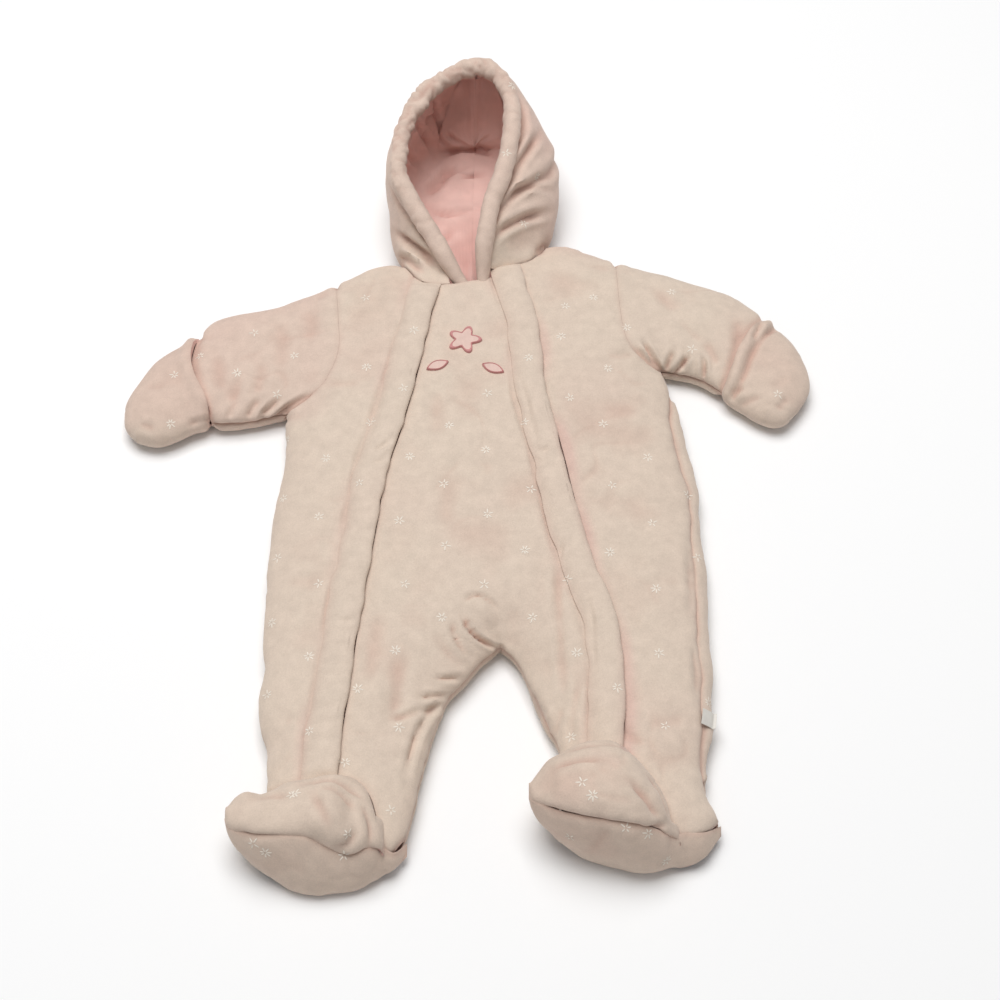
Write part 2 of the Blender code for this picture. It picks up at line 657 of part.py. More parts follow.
def fold_sides(pair, sides):
    """Sets the named sides of a skin on the fold itself, facing straight out."""
    points, normals = pair[0].copy(), pair[1].copy()
    edges = {"left": np.s_[:, 0], "right": np.s_[:, -1], "high": np.s_[-1, :]}
    for side in sides:
        points[edges[side] + (2,)] = SEAM_Z
        flat = normals[edges[side]].copy()
        flat[:, 2] = 0
        normals[edges[side]] = flat / np.linalg.norm(flat, axis=1)[:, None]
    return points, normals


def build_sleeve(name, armhole, low, top, cuff):
    """One sleeve: folded at the upper edge, open seam under the arm, open at both ends."""
    grid = drawn_in(coons(low, top, armhole, cuff), SEAM_GAP, ["low", "high"])
    patches = [fold_sides(skin(grid, side), ["right"]) for side in ("front", "back")]
    wall(name, patches, VELOUR, fold=outline_fold, keep=clear_of_seam)


def build_mitt(name, cuff, low, top, tip):
    """One mitt: a padded bag closed all round, its mouth at the cuff with a lifted lip."""
    grid = drawn_in(coons(low, top, cuff, tip), SEAM_GAP / 2, ["low"])
    front = skin(grid, "front")
    gap = inset(grid.reshape(-1, 2), "front")[0].reshape(grid.shape[:2])
    lip = MITT_LIP * ease(1 - np.linspace(0, 2.5, len(grid)))[:, None]
    front[0][..., 2] += lip * ease(gap / 15)
    folded = ["left", "right", "high"]
    patches = [fold_sides(front, folded), fold_sides(skin(grid, "back"), folded)]
    wall(name, patches, VELOUR, full=MITT_WALL, fold=outline_fold, keep=clear_of_seam)


def build_arms():
    """Both sleeves and both mitts."""
    arms = {
        "right": (RIGHT_ARMHOLE, RIGHT_SLEEVE_LOW, RIGHT_SLEEVE_TOP, RIGHT_CUFF,
                  RIGHT_MITT_LOW, RIGHT_MITT_TOP, RIGHT_MITT_TIP),
        "left": (LEFT_ARMHOLE, LEFT_SLEEVE_LOW, LEFT_SLEEVE_TOP, LEFT_CUFF, LEFT_MITT_LOW,
                 LEFT_MITT_TOP, LEFT_MITT_TIP),
    }
    for side, (armhole, sleeve_low, sleeve_top, cuff, mitt_low, mitt_top, tip) in arms.items():
        cuff_line = shares(cuff, ARMHOLE_SHARES)
        build_sleeve(f"sleeve_{side}", shares(back_to_front(armhole), ARMHOLE_SHARES),
                     steps(back_to_front(sleeve_low), ARM_STEPS), steps(sleeve_top, ARM_STEPS),
                     cuff_line)
        build_mitt(f"mitt_{side}", cuff_line, steps(back_to_front(mitt_low), ARM_STEPS),
                   steps(mitt_top, ARM_STEPS), shares(back_to_front(tip), ARMHOLE_SHARES))


def build_zip(name, line):
    """A closed zip under its channel: tape on both sides and the ridge of the teeth."""
    line = np.vstack([line[:1] * 0.9 + line[1:2] * 0.1, line[1:-1],
                      line[-1:] * 0.9 + line[-2:-1] * 0.1])
    half_tape = ZIP_TAPE / 2
    half_teeth = ZIP_TEETH / 2
    tape_top = ZIP_DEPTH - ZIP_TAPE_THICK
    section = [(-half_tape, ZIP_DEPTH), (half_tape, ZIP_DEPTH), (half_tape, tape_top),
               (half_teeth, tape_top), (half_teeth, ZIP_TEETH_TOP),
               (-half_teeth, ZIP_TEETH_TOP), (-half_teeth, tape_top), (-half_tape, tape_top)]
    run = np.gradient(line, axis=0)
    square = np.stack([-run[:, 1], run[:, 0]], 1) / np.linalg.norm(run, axis=1)[:, None]
    across = np.array([place for place, _ in section])
    rings = skin(line[:, None] + square[:, None] * across[None, :, None], "front")[0]
    rings[..., 2] -= np.array([depth for _, depth in section])
    tube(name, rings, [[0, 1, 2, 7], [3, 4, 5, 6], [2, 3, 6, 7]], TAPE)


def from_row_end(row, distance):
    """A point on a row of a grid, measured back from its last point."""
    away = fractions_of(row[::-1]) * np.linalg.norm(np.diff(row, axis=0), axis=1).sum()
    if distance >= 0:
        return np.array([np.interp(distance, away, row[::-1][:, k]) for k in range(3)])
    step = (row[-1] - row[-2]) / np.linalg.norm(row[-1] - row[-2])
    return row[-1] - step * distance


def build_guard(name, panel_rows):
    """A padded strip lying on a panel along its zip edge, made from the panel's points."""
    reach = [(GUARD_WIDTH, 0.12), (0.75 * GUARD_WIDTH, 0.7), (0.35 * GUARD_WIDTH, 1.0),
             (0.5, 0.75), (-1.2, 0.3)]
    rows = panel_rows.copy()
    rows[-1] = 0.8 * rows[-1] + 0.2 * rows[-2]
    up = np.array([0, 0, 1.0])
    under = np.array([[from_row_end(row, distance) + up * GUARD_CLEAR for distance, _ in reach]
                      for row in rows])
    lift = np.array([GUARD_HEIGHT * share for _, share in reach])
    over = under + up * lift[None, :, None]
    points, _, faces = weld([(over, np.broadcast_to(up, over.shape))])
    closed(name, points, under.reshape(-1, 3), faces, VELOUR)


def build_guards(sides, centre):
    """The strips beside both zips, each on the wearer's right of its zip."""
    build_guard("placket_right", skin(sides["front_side_right"], "front")[0])
    build_guard("placket_left", skin(centre["left"], "front")[0][::-1, ::-1])


def rim_centres():
    """Centre line of the rolled rim, from the wearer's right neck end round to the left."""
    right = [row[:3] for row in HOOD_RIGHT]
    left = [row[:3] for row in HOOD_LEFT]
    return np.array([RIM_END_RIGHT] + right + left[-2::-1] + [RIM_END_LEFT], float)


def hood_lines(table, side):
    """Lines along a hood side: at the rim, at the widest place and at the bottom seam."""
    rows = np.array(table, float)
    rim, wide, seam = rows[:, :3], rows[:, 3:6], rows[:, 6:]
    run = np.gradient(rim, axis=0)
    run /= np.linalg.norm(run, axis=1)[:, None]
    outward = wide - rim
    outward -= run * np.sum(outward * run, axis=1)[:, None]
    outward /= np.linalg.norm(outward, axis=1)[:, None]
    edge = rim + (RIM_RADIUS + RIM_CLEAR) * outward
    middle = CROWN_TOP[0]
    crown_wide = (middle + side * (CROWN_WIDE[0] - middle), *CROWN_WIDE[1:])
    edge = np.vstack([edge, CROWN_TOP, END_TOP])
    wide = np.vstack([wide, crown_wide, END_WIDE])
    seam = np.vstack([seam, CROWN_SEAM, END_SEAM])
    return edge, wide, seam


def hood_section(edge, wide, seam):
    """One section of a hood side, from the rim over the widest place to the bottom seam."""
    angles = np.linspace(0, np.pi / 2, NECK_STEPS + 2)[:, None]
    corner = np.array([edge[0], edge[1], wide[2]])
    upper = corner + (wide - corner) * np.sin(angles) + (edge - corner) * np.cos(angles)
    angles = np.linspace(0, np.pi / 2, NECK_STEPS + 1)[:, None]
    corner = np.array([seam[0], seam[1], wide[2]])
    flat = 2 / FLOOR_SQUARENESS
    lower = (corner + (wide - corner) * np.cos(angles) ** flat
             + (seam - corner) * np.sin(angles) ** flat)
    lower[-1] = seam
    return chain(upper, lower)


def neck_ring(side):
    """The hood's first row with its normals: front neckline, then the back of the neck."""
    front_table, back_table, middle_table = {
        -1: (NECK_FRONT_RIGHT, NECK_BACK_RIGHT, NECK_FRONT_MIDDLE_RIGHT),
        1: (back_to_front(NECK_FRONT_LEFT), back_to_front(NECK_BACK_LEFT),
            back_to_front(NECK_FRONT_MIDDLE_LEFT)),
    }[side]
    middle = shares(middle_table, CENTRE_SHARES)[NECK_SHARE_IN]
    front = np.vstack([middle, steps(front_table, NECK_STEPS)[::-1]])
    toward = np.array(NECK_HEART) - front
    front += toward / np.linalg.norm(toward, axis=1)[:, None] * SEAM_GAP
    front[:2] += toward[:2] / np.linalg.norm(toward[:2], axis=1)[:, None] * 2 * SEAM_GAP
    back = steps(back_table, NECK_STEPS) + np.array([0, SEAM_GAP])
    front_points, front_normals = skin(front, "front")
    back_points, back_normals = skin(back, "back")
    front_points[-1, 2] = SEAM_Z
    front_normals[-1] = (side, 0, 0)
    return chain(front_points, back_points), chain(front_normals, back_normals)


def seam_level(points):
    """Where the hood's middle plane runs, x at each point's y."""
    rows = np.array(HOOD_RIGHT, float)
    return np.interp(points[..., 1], rows[:, 7], rows[:, 6])


def beside_middle(points, side):
    """Keeps one hood side on its own side of the middle seam."""
    level = seam_level(points)
    away = np.maximum(side * (points[..., 0] - level), SEAM_GAP / 2)
    return np.concatenate([(level + side * away)[..., None], points[..., 1:]], axis=-1)


def hood_side(table, side):
    """Points and normals over one hood side, rows from the neck to the crown."""
    ring, ring_normals = neck_ring(side)
    rows = [ring] + [hood_section(*places) for places in zip(*hood_lines(table, side))]
    grid = np.array(rows)
    grid[1:] = beside_middle(grid[1:], side)
    grid[0, -1, 0] += side * SEAM_GAP / 2
    normals = grid_normals(grid, HOOD_HEART)
    normals[0] = ring_normals
    closing = (grid[-1] - grid[-2]) * (0, 1, 1)
    normals[-1] = closing / np.linalg.norm(closing, axis=1)[:, None]
    rim = np.array(table, float)[:, :3]
    outward = grid[1:len(rim) + 1, 0] - rim
    outward /= np.linalg.norm(outward, axis=1)[:, None]
    edge = normals[1:len(rim) + 1, 0]
    edge -= outward * np.sum(edge * outward, axis=1)[:, None]
    edge /= np.linalg.norm(edge, axis=1)[:, None]
    return grid, normals


def grid_normals(grid, away_from):
    """Normals of a grid, pointing away from a place inside the form."""
    across = np.gradient(grid, axis=1)
    up = np.gradient(grid, axis=0)
    normals = np.cross(across, up)
    normals /= np.maximum(np.linalg.norm(normals, axis=2), 1e-9)[..., None]
    outward = np.sum(normals * (grid - np.array(away_from, float)), axis=2).sum()
    return normals * np.sign(outward)


def build_hood():
    """Two padded sides, their jersey lining and the rolled rim."""
    for label, table, side in (("right", HOOD_RIGHT, -1), ("left", HOOD_LEFT, 1)):
        def beside(points, inner, side=side):
            return beside_middle(inner, side)
        grid, normals = hood_side(table, side)
        wall(f"hood_{label}", [(grid, normals)], VELOUR, full=HOOD_WALL, keep=beside)
        lined = grid - normals * (HOOD_WALL + SEAM_GAP)
        lined = beside_middle(lined, side)
        wall(f"hood_lining_{label}", [(lined[1:LINED_ROWS], normals[1:LINED_ROWS])], JERSEY,
             full=LINING_WALL, sewn=LINING_WALL, keep=beside)
    build_rim()


def build_rim():
    """The rolled casing round the face opening, one padded tube."""
    line = rim_centres()
    run = np.gradient(line, axis=0)
    run /= np.linalg.norm(run, axis=1)[:, None]
    level = np.cross(run, [0, 0, 1.0])
    level /= np.linalg.norm(level, axis=1)[:, None]
    upright = np.cross(run, level)
    angles = np.linspace(0, 2 * np.pi, RIM_SIDES, endpoint=False)[None, :, None]
    rings = line[:, None] + RIM_RADIUS * (level[:, None] * np.cos(angles)
                                          + upright[:, None] * np.sin(angles))
    tube("hood_rim", rings, [list(range(RIM_SIDES))], VELOUR)


def quarter(start, corner, stop, count):
    """A quarter ellipse in the y-z plane that leaves start along corner-stop."""
    angles = np.linspace(0, np.pi / 2, count)[:, None]
    start, corner, stop = (np.array(place, float) for place in (start, corner, stop))
    return corner + (start - corner) * np.cos(angles) + (stop - corner) * np.sin(angles)


def at_x(x, section):
    """A y-z section placed at a station."""
    return np.column_stack([np.full(len(section), x), section])


def foot_rows(table):
    """Rows of the foot's top, and of the part that goes on under the toe."""
    over, under = [], []
    for number, row in enumerate(table):
        place = dict(zip(FOOT_COLUMNS, row))
        top = (place["top_y"], place["top_z"] + SEAM_GAP / 2)
        peak = (place["crown_y"], place["crown_z"])
        ankle = (place["ankle_y"], place["ankle_z"])
        low = (place["low_y"], place["low_z"] - SEAM_GAP / 2)
        if number == 0:
            top = (top[0] + TIP_SLACK, top[1])
            low = (low[0] + TIP_SLACK, low[1])
        rise = quarter(top, (peak[0], top[1]), peak, 4)
        fall = quarter(ankle, (peak[0], ankle[1]), peak, 4)[::-1]
        over.append(at_x(place["x"], chain(rise, fall)))
        if number < TOE_STATIONS:
            ground = ((low[0] + ankle[0]) / 2, max(0.0, low[1] - 6))
            down = quarter(ankle, (ground[0], ankle[1]), ground, 3)
            forward = quarter(low, (ground[0], low[1]), ground, 3)[::-1]
            under.append(at_x(place["x"], chain(down, forward)))
    return np.array(over), np.array(under)


def sole_rows(table, heel):
    """Rows across the sole from its top edge to its lower edge, bulging towards -Y."""
    rows = []
    for x, top_y, top_z, low_y, low_z in [row[:5] for row in table] + heel:
        share = np.linspace(0, 1, 5)
        swell = SOLE_BULGE * min(1, (top_z - low_z) / 50) * np.sin(np.pi * share) ** 0.7
        y = top_y + (low_y - top_y) * share - swell
        z = top_z - SEAM_GAP / 2 + (low_z - top_z + SEAM_GAP) * share
        rows.append(at_x(x, np.column_stack([y, z])))
    return np.array(rows)


def build_feet():
    """Foot tops closed under the toe, and padded soles that face the foot end."""
    ahead = np.array([0, -1.0, 0])
    for label, table, heel in (("right", RIGHT_FOOT, RIGHT_HEEL), ("left", LEFT_FOOT, LEFT_HEEL)):
        over, under = foot_rows(table)
        whole = np.concatenate([over[:TOE_STATIONS], under[:, 1:]], axis=1)
        middle = (over.reshape(-1, 3).max(axis=0) + over.reshape(-1, 3).min(axis=0)) / 2
        normals = grid_normals(over, middle)
        wrapped = grid_normals(whole, middle)
        normals[1:, 0] = ahead
        wrapped[1:, -1] = ahead
        for end in (normals[-1], wrapped[-1]):
            end[:, 0] = 0
            end /= np.linalg.norm(end, axis=1)[:, None]
        seam = over.shape[1] - 1
        patches = [(over, normals), (whole[:, seam:], wrapped[:, seam:])]
        wall(f"foot_top_{label}", patches, VELOUR, full=FOOT_WALL)
        sole = sole_rows(table, heel)
        wall(f"sole_{label}", [(sole, np.broadcast_to(ahead, sole.shape))], VELOUR,
             full=SOLE_WALL, sewn=SOLE_SEWN)


def build_label():
    """The blank woven tag sewn into the wearer's left side seam, lying outwards."""
    rows = []
    for y in (LABEL_Y - LABEL_LENGTH / 2, LABEL_Y, LABEL_Y + LABEL_LENGTH / 2):
        edge = np.interp(y, *np.array(back_to_front(LEFT_SIDE), float).T[::-1])
        plan = np.array([(edge - TURNED_BACK - 1, y), (edge - 4, y), (edge - 0.8, y)])
        row = skin(plan, "front")[0] + (0, 0, LABEL_LIFT)
        row[-1, 0] = edge + LABEL_STANDS
        rows.append(row)
    rows = np.array(rows)
    up = np.broadcast_to(np.array([0, 0, 1.0]), rows.shape)
    wall("side_label", [(rows + up * LABEL_WALL, up)], SATIN, full=LABEL_WALL, sewn=LABEL_WALL)


def on_chest(plan):
    """Points a hair above the middle front."""
    points, normals = skin(plan, "front")
    return points + normals * CLEAR, normals


def build_flower():
    """The flower applique: petals round a middle, one flat body."""
    angles = np.linspace(0, 2 * np.pi, 21)
    petal = FLOWER_RADIUS * (0.78 + 0.22 * np.cos(FLOWER_PETALS * angles))
    rings = [np.stack([np.cos(angles), np.sin(angles)], 1) * petal[:, None] * share
             for share in (0.12, 0.55, 1.0)]
    under, normals = on_chest(np.array(rings) + np.array(FLOWER_AT))
    under[:, -1] = under[:, 0]
    over = under + normals * APPLIQUE_WALL
    over[:, -1] = over[:, 0]
    wall("motif_flower", [(over, normals)], THREAD, full=APPLIQUE_WALL, sewn=APPLIQUE_WALL)


def build_leaves():
    """Two pointed leaves below the flower."""
    for name, (x, y, heading) in LEAVES.items():
        run = np.array([np.cos(np.radians(heading)), np.sin(np.radians(heading))])
        side = np.array([-run[1], run[0]])
        t = np.linspace(0.05, 0.95, 6)
        width = LEAF_WIDTH / 2 * np.sin(np.pi * t)
        rows = [np.array([x, y]) + run * LEAF_LENGTH * s for s in t]
        grid = np.array([[row + side * w * share for share in (-1, 0, 1)]
                         for row, w in zip(rows, width)])
        under, normals = on_chest(grid)
        wall(name, [(under + normals * APPLIQUE_WALL, normals)], THREAD, full=APPLIQUE_WALL,
             sewn=APPLIQUE_WALL)


def clear_scene():
    for item in list(bpy.data.objects):
        bpy.data.objects.remove(item, do_unlink=True)


def main():
    clear_scene()
    collection = bpy.data.collections.new("baby_snowsuit")
    bpy.context.scene.collection.children.link(collection)
    sides = side_front_grids()
    centre = centre_front_grids()
    build_fronts(sides, centre)
    build_back()
    build_arms()
    build_zip("zip_right", zip_rows(RIGHT_ZIP, RIGHT_LEG_STEPS))
    build_zip("zip_left", zip_rows(LEFT_ZIP, LEFT_LEG_STEPS))
    build_guards(sides, centre)
    build_hood()
    build_feet()
    build_label()
    build_flower()
    build_leaves()


main()
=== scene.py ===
"""Padded baby snowsuit: the visual model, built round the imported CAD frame.

Tables are in millimetres in the part's own frame: +Z up, +Y from the feet to the hood, -X is
the wearer's right. Every padded panel is a fine grid over the same puffed outline as its CAD
solid, with its own seam grooves, puckers and folds, and a lining side that closes it.
"""

import itertools
import json
import math

import bpy
import numpy as np
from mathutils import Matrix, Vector
from mathutils.bvhtree import BVHTree
from mathutils.kdtree import KDTree

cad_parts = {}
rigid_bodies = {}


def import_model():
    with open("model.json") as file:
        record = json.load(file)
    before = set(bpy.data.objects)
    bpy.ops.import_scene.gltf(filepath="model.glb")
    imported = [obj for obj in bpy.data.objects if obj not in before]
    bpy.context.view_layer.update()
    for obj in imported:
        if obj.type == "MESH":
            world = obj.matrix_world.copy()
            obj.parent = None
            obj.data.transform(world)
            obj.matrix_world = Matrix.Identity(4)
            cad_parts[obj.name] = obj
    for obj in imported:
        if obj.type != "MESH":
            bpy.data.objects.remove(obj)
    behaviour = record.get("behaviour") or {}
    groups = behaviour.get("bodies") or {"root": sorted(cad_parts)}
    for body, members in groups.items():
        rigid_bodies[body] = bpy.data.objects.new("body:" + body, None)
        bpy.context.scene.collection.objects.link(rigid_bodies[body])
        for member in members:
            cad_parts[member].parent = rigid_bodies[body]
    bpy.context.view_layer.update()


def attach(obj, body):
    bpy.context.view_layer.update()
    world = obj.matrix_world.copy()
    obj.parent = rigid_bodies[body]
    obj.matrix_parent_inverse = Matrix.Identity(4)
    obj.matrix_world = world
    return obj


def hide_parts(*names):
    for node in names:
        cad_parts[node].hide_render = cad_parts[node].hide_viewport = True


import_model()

bl_info = {
    "name": "Padded Baby Snowsuit",
    "version": (1, 0, 0),
    "blender": (4, 5, 0),
    "location": "View3D > Sidebar > Snowsuit",
    "description": "Builds a padded velour baby snowsuit round its CAD frame",
    "category": "Object",
}

MM = 0.001

# The puffed body, as in the part's source.
SEAM_Z = 13.0
SEAM_GAP = 0.06
FRONT_ROUND = 45.0
MITT_ROUND = 32.0
BACK_ROUND = 16.0
BODY_CROWN = 32.0
SLEEVE_CROWN = 30.0
MITT_CROWN = 27.0
BELLY_DOME = 6.0
WALL_RAMP = 17.0
TURNED_BACK = 8.0

# Plan outline: side seams, folds, armholes and zip lines. First the wearer's right (-X).
RIGHT_SHOULDER = [(-59, 168), (-83, 161), (-110, 145)]
RIGHT_SLEEVE_TOP = [(-110, 145), (-139, 130), (-163, 119), (-186, 114), (-207, 106), (-218, 90)]
RIGHT_MITT_TOP = [(-218, 90), (-233, 80), (-250, 64), (-260, 42)]
RIGHT_MITT_TIP = [(-260, 42), (-268, 21), (-267, 1), (-257, -13)]
RIGHT_MITT_LOW = [(-257, -13), (-241, -18), (-227, -14), (-212, -5), (-200, 0)]
RIGHT_CUFF = [(-200, 0), (-204, 17), (-214, 38), (-219, 56), (-219, 73), (-218, 90)]
RIGHT_SLEEVE_LOW = [(-200, 0), (-188, 1), (-174, 2), (-156, 8), (-142, 11)]
RIGHT_SIDE = [(-142, 11), (-142, -14), (-143, -52), (-146, -89), (-147.5, -140), (-147.5, -195),
              (-146, -228), (-142.5, -262), (-138, -291), (-134, -323.5)]
RIGHT_ARMHOLE = [(-110, 145), (-105, 96), (-103, 65), (-108, 42), (-118, 25), (-142, 11)]
RIGHT_INNER_LEG = [(24, -202), (11, -214), (-1, -230), (-12, -244), (-18.5, -261), (-25, -285),
                   (-30, -308), (-33.5, -330), (-38, -352)]
RIGHT_ZIP = [(-26, 128.5), (-32.6, 95), (-38, 60), (-43.5, 27), (-53, -20), (-63, -62),
             (-69, -116), (-76.6, -181), (-82, -244), (-86, -285), (-87, -314)]
LEFT_SHOULDER = [(61, 187), (84, 185), (119, 169)]
LEFT_SLEEVE_TOP = [(119, 169), (147, 160), (180, 148), (211, 134), (239, 109)]
LEFT_MITT_TOP = [(239, 109), (248, 97), (257, 85), (263.5, 71)]
LEFT_MITT_TIP = [(263.5, 71), (268, 52), (267, 34), (257, 16)]
LEFT_MITT_LOW = [(257, 16), (247, 6), (235, 2.5), (221, 9), (208, 21), (197, 33)]
LEFT_CUFF = [(197, 33), (205, 47), (212, 66), (223, 86), (233, 99), (239, 109)]
LEFT_SLEEVE_LOW = [(197, 33), (186, 43), (174, 49), (162, 52), (151, 54)]
LEFT_SIDE = [(151, 54), (159, 31), (163, -4), (168, -28), (171.5, -62), (174, -125),
             (175, -165), (175, -228), (172.5, -262), (166, -292), (165.5, -314), (172.5, -340)]
LEFT_ARMHOLE = [(119, 169), (119, 140), (120, 108), (124, 76), (136, 58), (151, 54)]
LEFT_INNER_LEG = [(24, -202), (33, -211), (42, -228), (49, -248), (57, -268), (64, -284),
                  (64, -297)]
LEFT_ZIP = [(38, 155), (41.5, 130), (50, 95), (54.5, 60), (56, 24), (62, -4), (70.7, -46),
            (78.5, -90), (90, -142), (99, -168), (105, -192), (108, -229), (108, -262),
            (105, -294)]
NECK_FRONT_RIGHT = [(-59, 168), (-42, 136), (-26, 128.5)]
NECK_FRONT_MIDDLE_RIGHT = [(-26, 128.5), (-12, 129), (1, 132)]
NECK_FRONT_MIDDLE_LEFT = [(1, 132), (14, 135), (23, 145), (38, 155)]
NECK_FRONT_LEFT = [(38, 155), (50, 164), (61, 187)]
NECK_BACK_RIGHT = [(-59, 168), (-38, 173), (1, 176)]
NECK_BACK_LEFT = [(1, 176), (40, 181), (61, 187)]
MIDDLE_FRONT = [(1, 132), (4, 60), (8, -20), (14, -100), (20, -160), (24, -202)]
MIDDLE_BACK = [(1, 176), (3, 90), (8, -20), (14, -100), (20, -160), (24, -202)]
RIGHT_ANKLE_OUTER = [(-134, -323.5), (-118, -317.5), (-102, -316), (-87, -314)]
RIGHT_ANKLE_INNER = [(-87, -314), (-74, -316), (-64, -326), (-58, -343), (-54, -362),
                     (-47, -365), (-38, -352)]
LEFT_ANKLE_INNER = [(64, -297), (78, -292), (94, -291), (105, -294)]
LEFT_ANKLE_OUTER = [(105, -294), (115, -302), (125, -315), (133, -330), (138, -349),
                    (147, -354), (160, -351), (172.5, -340)]
RIGHT_TOE_SIDE = [(-134, -323.5), (-134, -341), (-134, -360)]
RIGHT_UNDERFOOT = [(-134, -360), (-118, -373), (-98, -378), (-80, -377), (-62, -371),
                   (-46, -362), (-38, -352)]
LEFT_TOE_SIDE = [(64, -297), (64, -320), (64, -345)]
LEFT_UNDERFOOT = [(64, -345), (78, -351), (96, -356), (118, -360), (140, -360), (158, -354),
                  (172.5, -340)]

# Foot sections: x, sole's top edge y z, sole's low edge y z, crown y z, ankle edge y z.
RIGHT_FOOT = [
    (-157.5, -347, 37, -347, 32, -342, 39, -339, 35),
    (-155.5, -352, 37, -353, 27, -346, 42, -337, 33),
    (-151, -356, 39, -358.5, 20, -348, 45, -331, 32),
    (-144, -359, 41, -364, 14, -350, 48, -327, 31),
    (-134.6, -362, 44, -370, 7, -351, 50, -324, 30),
    (-118, -363, 46, -379, 1, -352, 52, -318.5, 29),
    (-102, -364, 46, -383, 0, -351, 55, -317, 29),
    (-87, -368, 37, -383, 0, -350, 58, -315, 29),
    (-74.3, -370, 32, -381, 0, -352, 49, -317, 29),
    (-64.9, -368, 35, -377, 1, -353, 46, -327.5, 28),
    (-58.9, -366, 32, -374, 2, -357, 40, -344, 27),
]
RIGHT_HEEL = [
    (-54, -362.4, 26, -372, 3),
    (-46, -364.6, 21, -368, 5),
    (-38, -352.6, 10.5, -361, 8.5),
]
LEFT_FOOT = [
    (43, -333, 43.5, -333, 39, -328, 46, -325, 42.5),
    (45, -337, 45, -338, 34, -331, 49, -323, 39),
    (49.5, -341, 48, -343, 27, -333, 53, -315, 37),
    (56, -346, 51, -347, 20, -334, 59, -306, 33),
    (63.4, -350, 53, -350, 12, -334, 66, -297.5, 30),
    (78, -355, 56, -356, 2, -335, 70, -292.5, 29),
    (94, -358, 56, -361, 0, -336, 70, -291.5, 29),
    (105, -359, 55, -364, 0, -337, 68, -294.5, 29),
    (114.6, -359, 52, -366, 0, -339, 63, -302.8, 29),
    (124.4, -359, 46, -366, 0, -341, 56, -316, 29),
    (132.3, -359, 39, -365, 1, -345, 46, -331, 28),
    (136.8, -358, 32, -365, 2, -351, 37, -347.5, 28),
]
LEFT_HEEL = [
    (147, -353.4, 27, -366, 3),
    (160, -350.8, 23, -361, 6),
    (172.5, -340.6, 11, -346, 9),
]
TOE_STATIONS = 5

# Hood sections from the neck to the crown: rim centre x y z, widest place x y z, seam x y z.
HOOD_RIGHT = [
    (-16, 142, 45, -62, 178, 22, 1, 190, 0),
    (-31, 165, 55, -67, 196, 31, 1, 208, 0),
    (-47, 190, 66, -69, 214, 38, 1, 230, 0),
    (-58.5, 213, 75, -71, 233, 44, 1, 252, 0),
    (-58.5, 241, 81, -69, 256, 47, 1, 276, 0),
    (-52, 266, 87, -62, 280, 49, 2, 303, 0),
    (-41, 286, 92, -50, 302, 50, 3, 330, 0),
    (-22, 304, 97, -36, 323, 50, 4, 352, 0),
    (5, 313, 102, -20, 343, 46, 5, 369, 1),
]
HOOD_LEFT = [
    (9, 143, 46, 64, 193, 22, 1, 190, 0),
    (12, 162, 56, 69, 209, 30, 1, 208, 0),
    (17, 188, 67, 73, 228, 36, 1, 230, 0),
    (26, 213, 76, 73, 248, 42, 1, 252, 0),
    (32, 240, 83, 70, 268, 47, 1, 276, 0),
    (34, 266, 88, 61, 289, 48, 2, 303, 0),
    (32, 289, 92, 50, 307, 50, 3, 330, 0),
    (22, 307, 98, 39, 325, 50, 4, 352, 0),
    (5, 313, 102, 27, 344, 46, 5, 369, 1),
]
HOOD_SIDES = (("right", HOOD_RIGHT, -1), ("left", HOOD_LEFT, 1))
CROWN_TOP = (5, 337, 80)
CROWN_WIDE = (18, 363, 38)
CROWN_SEAM = (5, 380, 4)
END_TOP = (5, 358, 61)
END_WIDE = (5, 376, 34)
END_SEAM = (5, 384, 10)
RIM_END_RIGHT = (-9, 137, 43)
RIM_END_LEFT = (9.5, 138, 43.5)
HOOD_HEART = (0, 250, 35)
NECK_HEART = (1, 165)
FLOOR_SQUARENESS = 3.5
RIM_RADIUS = 7.0
RIM_CLEAR = 0.7
HOOD_WALL = 5.0
LINING_WALL = 2.4
FOOT_WALL = 6.0
SOLE_WALL = 7.0
SOLE_SEWN = 1.5
SOLE_BULGE = 8.0
TIP_SLACK = 1.0
WALL_FULL = 8.5
WALL_SEWN = 3.0
MITT_WALL = 6.0
MITT_LIP = 3.0
ZIP_CHANNEL = 4.0
ZIP_TAPE = 11.0
ZIP_TAPE_THICK = 1.2
ZIP_DEPTH = 5.9
GUARD_CLEAR = 0.5
LABEL_Y = -263.0
LABEL_LENGTH = 12.0
LABEL_STANDS = 1.5
LABEL_LIFT = 0.6
LABEL_WALL = 0.8
APPLIQUE_CLEAR = 0.35
FLOWER_AT = (-4, 68)
FLOWER_RADIUS = 14.0
FLOWER_PETALS = 5
LEAF_LENGTH = 19.0
LEAF_WIDTH = 9.0
LEAVES = {"motif_leaf_right": (-16, 46, 205), "motif_leaf_left": (10, 43, -25)}

# Steps of the fine grids, about 2.2 mm each.
SIDE_ROWS = 150
ARMHOLE_ROWS = 62
FRONT_COLUMNS = 46
CENTRE_ROWS = 150
LEG_ROWS = 72
CENTRE_COLUMNS = 34
BACK_ROWS = 60
BACK_COLUMNS = 52
SLEEVE_ROWS = 54
SLEEVE_COLUMNS = 78
MITT_ROWS = 40
HOOD_UPPER = 36
HOOD_LOWER = 26
HOOD_ROWS_PER_SPAN = 8
FOOT_ROWS_PER_SPAN = 7
BODY_ROWS = 62
SHIN_ROWS = 48
TOE_ROWS = 14
GUARD_STEPS = 240
TAPE_STEPS = 200
RIM_STEPS = 321
RIM_ROUND = 28
LABEL_STEPS = 17
FLOWER_STEPS = 330
LEAF_STEPS = 150

# Shares of the side seam above and below the level of the fork.
ABOVE_FORK, BELOW_FORK = 9 / 14, 5 / 14

